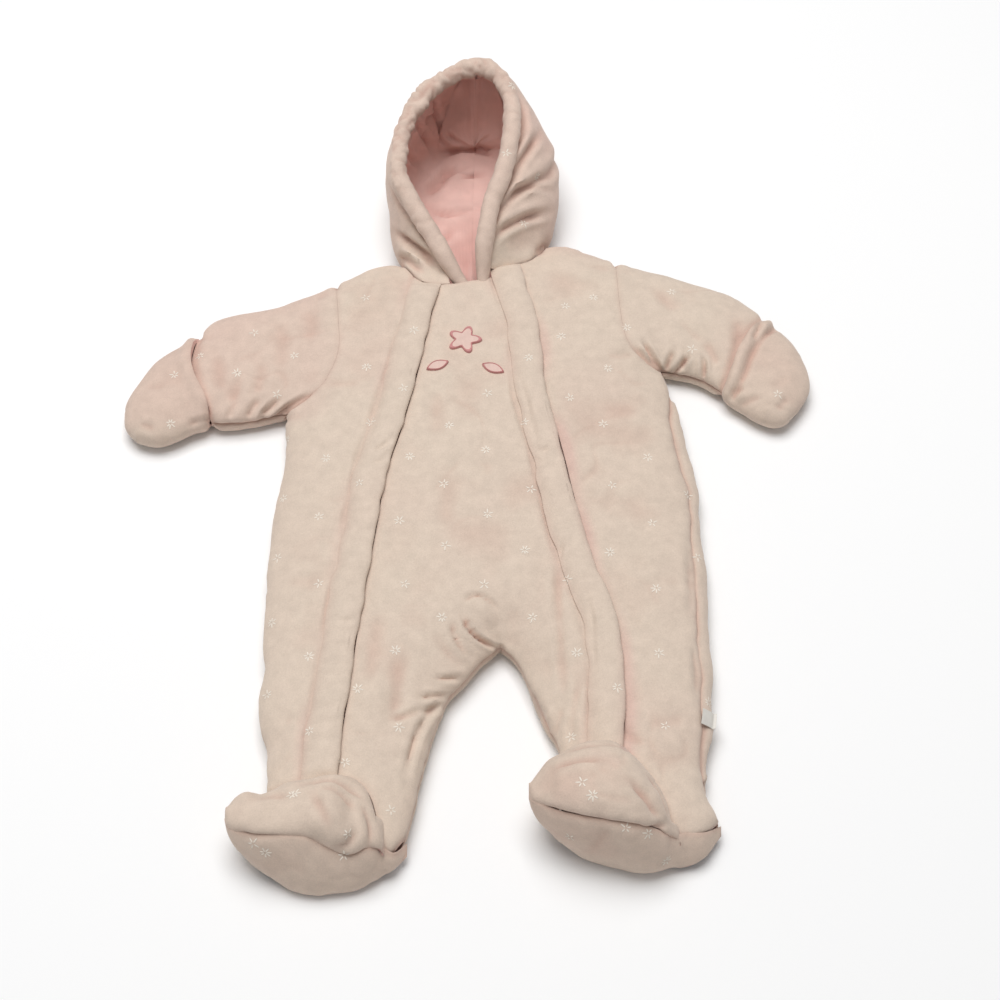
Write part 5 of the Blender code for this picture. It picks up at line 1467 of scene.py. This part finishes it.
def build_label(suit):
    """The blank woven satin tag sewn into the wearer's left side seam."""
    side = smooth_line(turned(LEFT_SIDE))
    rows = []
    for y in np.linspace(LABEL_Y - LABEL_LENGTH / 2, LABEL_Y + LABEL_LENGTH / 2,
                         LABEL_STEPS):
        edge = np.interp(y, side[:, 1], side[:, 0])
        x = np.linspace(edge - TURNED_BACK - 1, edge + LABEL_STANDS, LABEL_STEPS)
        level = np.full(LABEL_STEPS, y)
        lift = 0.35 * np.sin((x - edge) / 2.2) + 0.2 * np.sin(y / 2.7)
        z = skin(np.column_stack([np.minimum(x, edge - 0.8), level]), "front")[0][:, 2]
        rows.append(np.column_stack([x, level, z + LABEL_LIFT + lift + 0.8]))
    grid = np.array(rows)
    up = np.broadcast_to([0, 0, 1.0], grid.shape)
    points, normals, quads = weld([(grid + up * LABEL_WALL, up)])
    piece = add_mesh("side_label_satin", np.vstack([points, points - normals * LABEL_WALL]),
                     both_sides(quads.tolist(), rim_edges(quads), len(points)),
                     suit, ["satin"])
    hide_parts("side_label")


def build_applique(suit):
    """The flower sprig on the chest: a flower with two leaves, in satin stitch."""
    angles = np.linspace(0, 2 * np.pi, FLOWER_STEPS, endpoint=False)
    petal = FLOWER_RADIUS * (0.78 + 0.22 * np.cos(FLOWER_PETALS * angles))
    share = np.concatenate([[0.02], np.linspace(0.1, 0.76, 9), np.linspace(0.8, 1, 8)])
    rings = np.stack([np.cos(angles), np.sin(angles)], 1) * petal[:, None]
    plan = np.array(FLOWER_AT) + rings[None] * share[:, None, None]
    add_patch("motif_flower", plan, np.repeat(share[:, None], FLOWER_STEPS, 1), suit)
    for node, (x, y, heading) in LEAVES.items():
        run = np.array([np.cos(np.radians(heading)), np.sin(np.radians(heading))])
        side = np.array([-run[1], run[0]])
        t = (1 - np.cos(np.linspace(0, 2 * np.pi, LEAF_STEPS, endpoint=False))) / 2
        sign = np.where(np.arange(LEAF_STEPS) <= LEAF_STEPS / 2, 1, -1)
        wide = LEAF_WIDTH / 2 * np.sin(np.pi * t) ** 0.8 * sign
        loop = np.outer(t - 0.5, run) * LEAF_LENGTH + np.outer(wide, side)
        plan = np.array([x, y]) + run * LEAF_LENGTH / 2 + loop[None] * share[:, None, None]
        add_patch(node, plan, np.repeat(share[:, None], LEAF_STEPS, 1), suit)


def add_patch(node, plan, share, suit):
    """One applique shape as a closed thin piece with its stitched edge."""
    under, normals = skin(plan, "front")
    shape = plan.shape[:2]
    lift = padding(under.reshape(-1, 3), suit.sizes.puff / MM).reshape(shape)
    lift = np.maximum(lift, -2) + APPLIQUE_CLEAR
    cord = np.exp(-((share - 0.9) / 0.08) ** 2)
    stitches = 0.12 * np.sin(np.arange(shape[1]) * 2 * np.pi / 3)[None] * cord
    rise = 0.9 + 0.25 * (1 - share ** 4) + 0.8 * cord + stitches
    rise = np.where(share > 0.995, 0.3, rise)
    over = under + normals * (lift + rise)[..., None]
    low = under + normals * (lift - 0.9)[..., None]
    count = shape[0] * shape[1]
    ids = np.arange(count).reshape(shape)
    ids = np.concatenate([ids, ids[:, :1]], axis=1)
    quads = np.stack([ids[:-1, :-1], ids[1:, :-1], ids[1:, 1:], ids[:-1, 1:]], 2)
    centre = ids[0, :-1]
    a, b, d = (over.reshape(-1, 3)[quads[0, 0, k]] for k in (0, 1, 3))
    if np.cross(b - a, d - a)[2] < 0:
        quads, centre = quads[..., ::-1], centre[::-1]
    kinds = (share[:-1] > 0.79).astype(int).reshape(-1).tolist() + [0]
    quads = quads.reshape(-1, 4)
    faces = quads.tolist() + [centre.tolist()]
    rim = rim_edges(quads)
    rim = rim[rim[:, 0] >= count - shape[1]]
    piece = add_mesh(f"{node}_applique", np.vstack([over.reshape(-1, 3), low.reshape(-1, 3)]),
                     both_sides(faces, rim, count),
                     suit, ["applique", "thread"],
                     kinds + kinds + [1] * len(rim))
    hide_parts(node)


def star_places():
    """Plan places of the printed stars on the body's half-drop lattice."""
    places = []
    for column in range(-6, 7):
        for row in range(-9, 4):
            x = STAR_START[0] + column * STAR_ACROSS
            y = STAR_START[1] + (row + (column % 2) / 2) * STAR_DOWN
            places.append((x + 3 * math.sin(7 * column + 3 * row),
                           y + 3 * math.sin(5 * row + 2 * column)))
    return places


def add_stars(name, tree, places, suit):
    """Small hand-drawn stars of a few short strokes, each laid on the cloth below it."""
    points, faces = [], []
    for number, (spot, normal) in enumerate(places):
        first = normal.cross(Vector((0.2, 1, 0.1))).normalized()
        second = normal.cross(first)
        strokes = 5 + number % 3
        for stroke in range(strokes):
            angle = 2 * math.pi * (stroke + 0.18 * math.sin(9 * number + 5 * stroke)) / strokes
            reach = (3.9 + 0.6 * math.sin(4 * number + 7 * stroke)) * suit.sizes.star / 0.0085
            along_it = first * math.cos(angle + number) + second * math.sin(angle + number)
            across_it = normal.cross(along_it)
            start = len(points)
            for step in range(6):
                t = step / 5
                half = 0.5 * (0.45 + 0.55 * math.sin(math.pi * (0.12 + 0.8 * t)))
                for side in (-1, 0, 1):
                    place = spot + (along_it * (0.9 + t * (reach - 0.9))
                                    + across_it * half * side) * MM
                    hit, facing, _, _ = tree.ray_cast(place + normal * 0.006, -normal, 0.012)
                    if hit is None:
                        hit, facing = place, normal
                    lift = 0.00035 if side == 0 else 0.00012
                    points.append((hit + facing * lift) / MM)
            for step in range(5):
                for side in range(2):
                    a = start + 3 * step + side
                    faces.append([a, a + 1, a + 4, a + 3])
    piece = add_mesh(name, [tuple(p) for p in points], faces, suit, ["print"])


def build_stars(suit):
    """The small cream stars printed over the velour."""
    verts, faces = [], []
    for piece in bpy.context.scene.objects:
        if not piece.name.endswith("_velour"):
            continue
        start = len(verts)
        verts += [v.co.copy() for v in piece.data.vertices]
        faces += [[v + start for v in face.vertices] for face in piece.data.polygons
                  if face.material_index == 0]
    tree = BVHTree.FromPolygons(verts, faces)
    above, below = [], []
    for x, y in star_places():
        for sign, found in ((1, above), (-1, below)):
            spot = np.array([[x, y]])
            hidden = min(abs(beside_zip(spot, RIGHT_ZIP)[0]), abs(beside_zip(spot, LEFT_ZIP)[0]))
            if sign == 1 and (math.hypot(x + 4, y - 60) < 27 or y > 80 or hidden < 3.5
                              or (y > -5 and abs(x - 12) > 112)):
                continue
            hit, normal, _, _ = tree.ray_cast(Vector((x * MM, y * MM, sign * 0.3)),
                                              Vector((0, 0, -sign)))
            if hit is not None and normal.z * sign > 0.5 and abs(x - 12) < 165:
                found.append((hit, normal))
    for x, y, z in SINGLE_STARS:
        hit, normal, _, gap = tree.find_nearest(Vector((x * MM, y * MM, z * MM)))
        if hit is not None and gap < 0.02:
            above.append((hit, normal))
    add_stars("stars_front", tree, above, suit)
    add_stars("stars_back", tree, below, suit)


# ---- materials ----

# Nearly all values of a noise lie between these.
NOISE_SPAN = {"From Min": 0.3, "From Max": 0.7}


def add(tree, kind, out, inputs=None, **settings):
    """Adds a node with its settings, values and links, and gives its named output."""
    node = tree.nodes.new(kind)
    for key, value in settings.items():
        setattr(node, key, value)
    for key, value in (inputs or {}).items():
        if isinstance(value, bpy.types.NodeSocket):
            tree.links.new(value, node.inputs[key])
        else:
            node.inputs[key].default_value = value
    return node.outputs[out]


def start_material(name, roughness, **sockets):
    """A new material with its shader's plain numbers set, and the output for its places."""
    material = bpy.data.materials.new(name)
    material.use_nodes = True
    tree = material.node_tree
    shader = tree.nodes["Principled BSDF"]
    shader.inputs["Roughness"].default_value = roughness
    for key, value in sockets.items():
        shader.inputs[key.replace("_", " ")].default_value = value
    return material, tree, shader, add(tree, "ShaderNodeTexCoord", "Object")


def velour(name, colours):
    """Cotton velour, knitted with a short upright pile and brushed: soft, matt, and lighter
    where the pile is seen from the side. The pile itself is 0.3 mm; it is drawn 1 mm wide,
    because finer would not show."""
    material, tree, shader, place = start_material(
        name, 0.95, Sheen_Weight=0.30, Sheen_Roughness=0.45, Sheen_Tint=(1, 0.93, 0.88, 1),
        IOR=1.46, Specular_IOR_Level=0.25)
    # Painted shade of each point, and its pink tone.
    depth = add(tree, "ShaderNodeAttribute", "Fac", attribute_name="painted_shade")
    pink_and_painted_shade = add(tree, "ShaderNodeAttribute", "Fac", attribute_name="blush")
    lay = add(tree, "ShaderNodeTexNoise", "Fac", {"Vector": place, "Scale": 15, "Detail": 2})
    brushed = add(tree, "ShaderNodeTexNoise", "Fac",
                  {"Vector": place, "Scale": 110, "Detail": 4, "Roughness": 0.6})
    pile = add(tree, "ShaderNodeTexNoise", "Fac",
               {"Vector": place, "Scale": 950, "Detail": 3, "Roughness": 0.7})
    # Pinker at random where the pile lies the other way, and by the blush attribute, which also
    # holds painted shade along the guards' outer edges.
    blush = add(tree, "ShaderNodeMath", "Value", {0: lay, 1: 0.3, 2: pink_and_painted_shade},
                operation="MULTIPLY_ADD", use_clamp=True)
    tone = add(tree, "ShaderNodeMix", "Result",
               {"Factor": blush, "A": (*colours.velour, 1), "B": (*colours.blush, 1)},
               data_type="RGBA")
    # Painted shade: mixes towards the darker folds colour in seams, folds and troughs, along the
    # guards' edges and over pieces that face away from the light.
    painted_shade_tone = add(tree, "ShaderNodeMix", "Result",
                 {"Factor": depth, "A": tone, "B": (*colours.velour_painted_shade, 1)}, data_type="RGBA")
    grey = add(tree, "ShaderNodeMapRange", "Result",
               {"Value": brushed, **NOISE_SPAN, "To Min": 0.93, "To Max": 1.04})
    fleck = add(tree, "ShaderNodeMapRange", "Result",
                {"Value": pile, **NOISE_SPAN, "To Min": 0.92, "To Max": 1.05})
    both = add(tree, "ShaderNodeMath", "Value", {0: grey, 1: fleck}, operation="MULTIPLY")
    shade = add(tree, "ShaderNodeVectorMath", "Vector", {0: painted_shade_tone, "Scale": both},
                operation="SCALE")
    tree.links.new(shade, shader.inputs["Base Color"])
    rough = add(tree, "ShaderNodeBump", "Normal",
                {"Strength": 0.35, "Distance": 0.0012, "Height": brushed})
    nap = add(tree, "ShaderNodeBump", "Normal",
              {"Strength": 0.5, "Distance": 0.0005, "Height": pile, "Normal": rough})
    tree.links.new(nap, shader.inputs["Normal"])
    return material


def jersey(name, colours):
    """Cotton jersey lining, weft knitted: fine upright ribs and a soft matt surface. The ribs
    are 0.8 mm apart and are drawn at 1.2 mm so that they show."""
    material, tree, shader, place = start_material(
        name, 0.88, Sheen_Weight=0.15, Sheen_Roughness=0.5, IOR=1.46, Specular_IOR_Level=0.25)
    depth = add(tree, "ShaderNodeAttribute", "Fac", attribute_name="painted_shade")
    ribs = add(tree, "ShaderNodeTexWave", "Fac",
               {"Vector": place, "Scale": 265, "Distortion": 2.5, "Detail": 2},
               bands_direction="X")
    cloud = add(tree, "ShaderNodeTexNoise", "Fac", {"Vector": place, "Scale": 60, "Detail": 3})
    # Painted shade: mixes towards the darker lining colour in the lining's creases, over the hood's
    # floor towards the neck and on the lining side of the padded pieces.
    tone = add(tree, "ShaderNodeMix", "Result",
               {"Factor": depth, "A": (*colours.lining, 1), "B": (*colours.lining_painted_shade, 1)},
               data_type="RGBA")
    fade = add(tree, "ShaderNodeMapRange", "Result",
               {"Value": cloud, **NOISE_SPAN, "To Min": 0.93, "To Max": 1.05})
    shade = add(tree, "ShaderNodeVectorMath", "Vector", {0: tone, "Scale": fade},
                operation="SCALE")
    tree.links.new(shade, shader.inputs["Base Color"])
    bump = add(tree, "ShaderNodeBump", "Normal",
               {"Strength": 0.3, "Distance": 0.0003, "Height": ribs})
    tree.links.new(bump, shader.inputs["Normal"])
    return material


def banded(name, colour, spacing, roughness, depth, direction):
    """A thread-covered surface: close raised bands, with painted shade in darker lines between
    them.
    """
    material, tree, shader, place = start_material(name, roughness, IOR=1.5,
                                                   Specular_IOR_Level=0.35, Sheen_Weight=0.1)
    bands = add(tree, "ShaderNodeTexWave", "Fac",
                {"Vector": place, "Scale": 0.314 / (spacing * MM), "Distortion": 0.6,
                 "Detail": 1}, bands_direction=direction)
    cloud = add(tree, "ShaderNodeTexNoise", "Fac", {"Vector": place, "Scale": 180, "Detail": 3})
    # Painted shade: darker in the lines between the raised bands.
    line = add(tree, "ShaderNodeMapRange", "Result",
               {"Value": bands, "To Min": 0.9, "To Max": 1.03})
    spot = add(tree, "ShaderNodeMapRange", "Result",
               {"Value": cloud, **NOISE_SPAN, "To Min": 0.95, "To Max": 1.04})
    both = add(tree, "ShaderNodeMath", "Value", {0: line, 1: spot}, operation="MULTIPLY")
    shade = add(tree, "ShaderNodeVectorMath", "Vector", {0: tuple(colour), "Scale": both},
                operation="SCALE")
    tree.links.new(shade, shader.inputs["Base Color"])
    bump = add(tree, "ShaderNodeBump", "Normal",
               {"Strength": 0.5, "Distance": depth * MM, "Height": bands})
    tree.links.new(bump, shader.inputs["Normal"])
    return material


def suit_material(kind, suit):
    """The suit's material of a kind, made the first time it is asked for."""
    colours = suit.colours
    # name, then colour, spacing of the threads in mm, roughness, relief in mm and direction
    finishes = {
        "velour": ("cotton velour, brushed pile",),
        "jersey": ("cotton jersey, knitted lining",),
        # Woven polyester tape: fine ribs across, slightly shiny. Ribs 0.5 mm, drawn at 0.9 mm.
        "tape": ("polyester zip tape, woven", colours.tape, 0.9, 0.65, 0.2, "Y"),
        # Moulded acetal teeth: smooth, with a soft shine that picks out each tooth.
        "teeth": ("acetal zip teeth, moulded", colours.teeth, 1.5, 0.4, 0.05, "Y"),
        # Woven polyester satin: long floats give a smooth sheen with faint fine lines.
        "satin": ("polyester satin label, woven", colours.label, 0.8, 0.42, 0.1, "Y"),
        # Rayon satin stitch: bright threads side by side, 0.4 mm apart and drawn at 0.9 mm.
        "thread": ("rayon thread, satin stitched", colours.thread, 0.9, 0.45, 0.2, "X"),
        # Brushed cotton: matt and a little fluffy, with a faint weave.
        "applique": ("cotton applique, brushed", colours.applique, 1.0, 0.9, 0.15, "X"),
        # Pigment printed on the pile: matt, slightly stiff, broken up by the pile.
        "print": ("cotton print, cream pigment", colours.star, 0.9, 0.85, 0.1, "Y"),
    }
    name, *finish = finishes[kind]
    found = bpy.data.materials.get(name)
    if found is None and kind in ("velour", "jersey"):
        found = (velour if kind == "velour" else jersey)(name, colours)
    return found or banded(name, *finish)


def floor_material(colours):
    """Matt white paper backdrop: even and bright, with a barely visible tooth."""
    material, tree, shader, place = start_material("white paper backdrop", 0.9,
                                                   Specular_IOR_Level=0.2)
    tooth = add(tree, "ShaderNodeTexNoise", "Fac", {"Vector": place, "Scale": 400, "Detail": 3})
    even = add(tree, "ShaderNodeMapRange", "Result",
               {"Value": tooth, "To Min": 0.995, "To Max": 1.0})
    shade = add(tree, "ShaderNodeVectorMath", "Vector",
                {0: tuple(colours.floor), "Scale": even}, operation="SCALE")
    tree.links.new(shade, shader.inputs["Base Color"])
    return material


# ---- stage ----

def aim(item, place, target):
    """Puts a lamp or camera at a place, looking at a target."""
    item.location = place
    item.rotation_euler = (Vector(target) - Vector(place)).to_track_quat("-Z", "Y").to_euler()


def add_lamp(name, place, target, size, power):
    """A square soft box."""
    lamp = bpy.data.lights.new(name, "AREA")
    lamp.size = size
    lamp.energy = power
    item = bpy.data.objects.new(name, lamp)
    bpy.context.scene.collection.objects.link(item)
    aim(item, place, target)


def build_stage(suit):
    """The white floor, the soft boxes, the even surroundings and the camera."""
    scene = bpy.context.scene
    mesh = bpy.data.meshes.new("floor")
    mesh.from_pydata([(-4, -4, -0.0004), (4, -4, -0.0004), (4, 4, -0.0004), (-4, 4, -0.0004)],
                     [], [(0, 1, 2, 3)])
    mesh.materials.append(floor_material(suit.colours))
    floor = bpy.data.objects.new("floor", mesh)
    scene.collection.objects.link(floor)
    power = suit.stage.light_power
    add_lamp("soft box above", (-0.25, 0.5, 3.02), (0, 0, 0), 2.1, power)
    add_lamp("soft box ahead", (-0.9, -1.9, 1.6), (0, -0.05, 0), 1.6, power * 0.02)
    world = bpy.data.worlds.new("even surroundings")
    scene.world = world
    world.use_nodes = True
    sky = world.node_tree.nodes["Background"]
    sky.inputs["Color"].default_value = (1, 1, 1, 1)
    sky.inputs["Strength"].default_value = suit.stage.surroundings
    scene.view_settings.view_transform = "Standard"
    lens = bpy.data.cameras.new("camera")
    lens.sensor_width = 36
    lens.lens = suit.stage.lens
    camera = bpy.data.objects.new("camera", lens)
    scene.collection.objects.link(camera)
    aim(camera, (0.024, -0.9123, 1.1731), (0.024, -0.060, 0))
    scene.camera = camera


# ---- add-on ----------------------------------------------------------------------------------

def length_setting(name, default, low, high, description):
    """A length in metres that the user can change, between two limits."""
    return bpy.props.FloatProperty(name=name, description=description, default=default, min=low,
                                   max=high, precision=4, subtype="DISTANCE", unit="LENGTH")


class SnowsuitSizes(bpy.types.PropertyGroup):
    """Sizes of the padding, the seams and the small details."""
    puff: length_setting("Padding", 0.001, 0, 0.003,
                         "How far the padding lifts the velour between the seams")
    seam_depth: length_setting("Seam depth", 0.0026, 0, 0.004,
                               "How deep each seam draws the padding in")
    pucker: length_setting("Puckers", 0.0009, 0, 0.003,
                           "Height of the puckers that run out from the seams")
    guard_height: length_setting("Zip guard height", 0.0056, 0.002, 0.009,
                                 "Height of the padded strips beside the zips")
    star: length_setting("Star size", 0.0085, 0.004, 0.02, "Distance across one printed star")


def colour_setting(name, code, description):
    """A colour that the user can change, given by its sRGB value."""
    return bpy.props.FloatVectorProperty(name=name, description=description, subtype="COLOR",
                                         default=linear(code), size=3, min=0, max=1)


class SnowsuitColours(bpy.types.PropertyGroup):
    """Colours of the cloths, threads and trims."""
    velour: colour_setting("Velour", "#dbcbba", "Cream ground of the velour")
    # Blush also serves as painted shade in the grooves along the guards' outer edges.
    blush: colour_setting("Blush", "#dabdb0", "Pinker tone where the pile lies the other way")
    # Painted shade colour, mixed in where shade falls in seams and folds and over the mitts, foot
    # tops and soles.
    velour_painted_shade: colour_setting("Velour folds", "#c39c8d", "Velour deep in seams and folds")
    lining: colour_setting("Lining", "#e8c3b9", "Jersey lining of the hood")
    # Painted shade colour of the lining, mixed in where shade falls in its creases.
    lining_painted_shade: colour_setting("Lining folds", "#cf9d93", "Lining deep in its creases")
    tape: colour_setting("Zip tape", "#cfb3a4", "Woven tape of both zips")
    teeth: colour_setting("Zip teeth", "#c9a798", "Moulded teeth of both zips")
    label: colour_setting("Label", "#e2ddd5", "Blank satin label")
    thread: colour_setting("Stitching", "#cf8f8d", "Satin stitches round the applique")
    applique: colour_setting("Applique", "#e2c4b9", "Brushed cotton of the applique")
    star: colour_setting("Stars", "#f0e6d9", "Cream print of the stars")
    floor: colour_setting("Floor", "#fafafa", "White backdrop")


class SnowsuitStage(bpy.types.PropertyGroup):
    """Light and camera."""
    light_power: bpy.props.FloatProperty(
        name="Soft box", description="Power of the soft box above the suit", default=84,
        min=0, max=500, unit="POWER")
    surroundings: bpy.props.FloatProperty(
        name="Surroundings", description="Strength of the even light from all round",
        default=0.28, min=0, max=3)
    lens: bpy.props.FloatProperty(
        name="Lens", description="Focal length of the camera", default=68.4, min=20, max=200,
        unit="CAMERA")


class SnowsuitSettings(bpy.types.PropertyGroup):
    """Everything that can be set before the suit is built."""
    sizes: bpy.props.PointerProperty(type=SnowsuitSizes, name="Sizes",
                                     description="Padding, seams and details")
    colours: bpy.props.PointerProperty(type=SnowsuitColours, name="Colours",
                                       description="Cloths, threads and trims")
    stage: bpy.props.PointerProperty(type=SnowsuitStage, name="Stage",
                                     description="Light and camera")


class SNOWSUIT_OT_fronts(bpy.types.Operator):
    """Add the two outer fronts and the middle front"""
    bl_idname = "snowsuit.add_fronts"
    bl_label = "Fronts"

    def execute(self, context):
        build_fronts(context.scene.snowsuit)
        return {"FINISHED"}


class SNOWSUIT_OT_back(bpy.types.Operator):
    """Add the back with both legs"""
    bl_idname = "snowsuit.add_back"
    bl_label = "Back"

    def execute(self, context):
        build_back(context.scene.snowsuit)
        return {"FINISHED"}


class SNOWSUIT_OT_guards(bpy.types.Operator):
    """Add the padded strips beside the zips"""
    bl_idname = "snowsuit.add_guards"
    bl_label = "Zip guards"

    def execute(self, context):
        build_guards(context.scene.snowsuit)
        return {"FINISHED"}


class SNOWSUIT_OT_zips(bpy.types.Operator):
    """Add both zips with their tapes and teeth"""
    bl_idname = "snowsuit.add_zips"
    bl_label = "Zips"

    def execute(self, context):
        build_zips(context.scene.snowsuit)
        return {"FINISHED"}


class SNOWSUIT_OT_sleeves(bpy.types.Operator):
    """Add both sleeves"""
    bl_idname = "snowsuit.add_sleeves"
    bl_label = "Sleeves"

    def execute(self, context):
        build_sleeves(context.scene.snowsuit)
        return {"FINISHED"}


class SNOWSUIT_OT_mitts(bpy.types.Operator):
    """Add both fold-over mitts"""
    bl_idname = "snowsuit.add_mitts"
    bl_label = "Mitts"

    def execute(self, context):
        build_mitts(context.scene.snowsuit)
        return {"FINISHED"}


class SNOWSUIT_OT_hood(bpy.types.Operator):
    """Add both padded sides of the hood"""
    bl_idname = "snowsuit.add_hood"
    bl_label = "Hood"

    def execute(self, context):
        build_hood(context.scene.snowsuit)
        return {"FINISHED"}


class SNOWSUIT_OT_lining(bpy.types.Operator):
    """Add the jersey lining of the hood"""
    bl_idname = "snowsuit.add_lining"
    bl_label = "Hood lining"

    def execute(self, context):
        build_lining(context.scene.snowsuit)
        return {"FINISHED"}


class SNOWSUIT_OT_rim(bpy.types.Operator):
    """Add the gathered casing round the face opening"""
    bl_idname = "snowsuit.add_rim"
    bl_label = "Hood rim"

    def execute(self, context):
        build_rim(context.scene.snowsuit)
        return {"FINISHED"}


class SNOWSUIT_OT_feet(bpy.types.Operator):
    """Add the foot tops"""
    bl_idname = "snowsuit.add_feet"
    bl_label = "Foot tops"

    def execute(self, context):
        build_feet(context.scene.snowsuit)
        return {"FINISHED"}


class SNOWSUIT_OT_soles(bpy.types.Operator):
    """Add the padded soles"""
    bl_idname = "snowsuit.add_soles"
    bl_label = "Soles"

    def execute(self, context):
        build_soles(context.scene.snowsuit)
        return {"FINISHED"}


class SNOWSUIT_OT_label(bpy.types.Operator):
    """Add the blank side label"""
    bl_idname = "snowsuit.add_label"
    bl_label = "Side label"

    def execute(self, context):
        build_label(context.scene.snowsuit)
        return {"FINISHED"}


class SNOWSUIT_OT_applique(bpy.types.Operator):
    """Add the flower sprig on the chest"""
    bl_idname = "snowsuit.add_applique"
    bl_label = "Applique"

    def execute(self, context):
        build_applique(context.scene.snowsuit)
        return {"FINISHED"}


class SNOWSUIT_OT_stars(bpy.types.Operator):
    """Add the printed stars; the velour pieces come first"""
    bl_idname = "snowsuit.add_stars"
    bl_label = "Printed stars"

    def execute(self, context):
        build_stars(context.scene.snowsuit)
        return {"FINISHED"}


class SNOWSUIT_OT_stage(bpy.types.Operator):
    """Add the floor, the light and the camera"""
    bl_idname = "snowsuit.add_stage"
    bl_label = "Stage"

    def execute(self, context):
        build_stage(context.scene.snowsuit)
        return {"FINISHED"}


OPERATORS = (SNOWSUIT_OT_fronts, SNOWSUIT_OT_back, SNOWSUIT_OT_guards, SNOWSUIT_OT_zips,
             SNOWSUIT_OT_sleeves, SNOWSUIT_OT_mitts, SNOWSUIT_OT_hood, SNOWSUIT_OT_lining,
             SNOWSUIT_OT_rim, SNOWSUIT_OT_feet, SNOWSUIT_OT_soles, SNOWSUIT_OT_label,
             SNOWSUIT_OT_applique, SNOWSUIT_OT_stars, SNOWSUIT_OT_stage)


class SNOWSUIT_PT_panel(bpy.types.Panel):
    """Settings and pieces of the snowsuit"""
    bl_idname = "SNOWSUIT_PT_panel"
    bl_label = "Snowsuit"
    bl_space_type = "VIEW_3D"
    bl_region_type = "UI"
    bl_category = "Snowsuit"

    def draw(self, context):
        suit = context.scene.snowsuit
        for group in (suit.sizes, suit.colours, suit.stage):
            box = self.layout.box()
            for key in group.__annotations__:
                box.prop(group, key)
        for operator in OPERATORS:
            self.layout.operator(operator.bl_idname)


CLASSES = (SnowsuitSizes, SnowsuitColours, SnowsuitStage, SnowsuitSettings, *OPERATORS,
           SNOWSUIT_PT_panel)


def register():
    for cls in CLASSES:
        bpy.utils.register_class(cls)
    bpy.types.Scene.snowsuit = bpy.props.PointerProperty(type=SnowsuitSettings)


def unregister():
    del bpy.types.Scene.snowsuit
    for cls in reversed(CLASSES):
        bpy.utils.unregister_class(cls)


def main():
    """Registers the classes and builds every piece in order."""
    register()
    for operator in OPERATORS:
        group, name = operator.bl_idname.split(".")
        getattr(getattr(bpy.ops, group), name)()


if __name__ == "__main__":
    main()
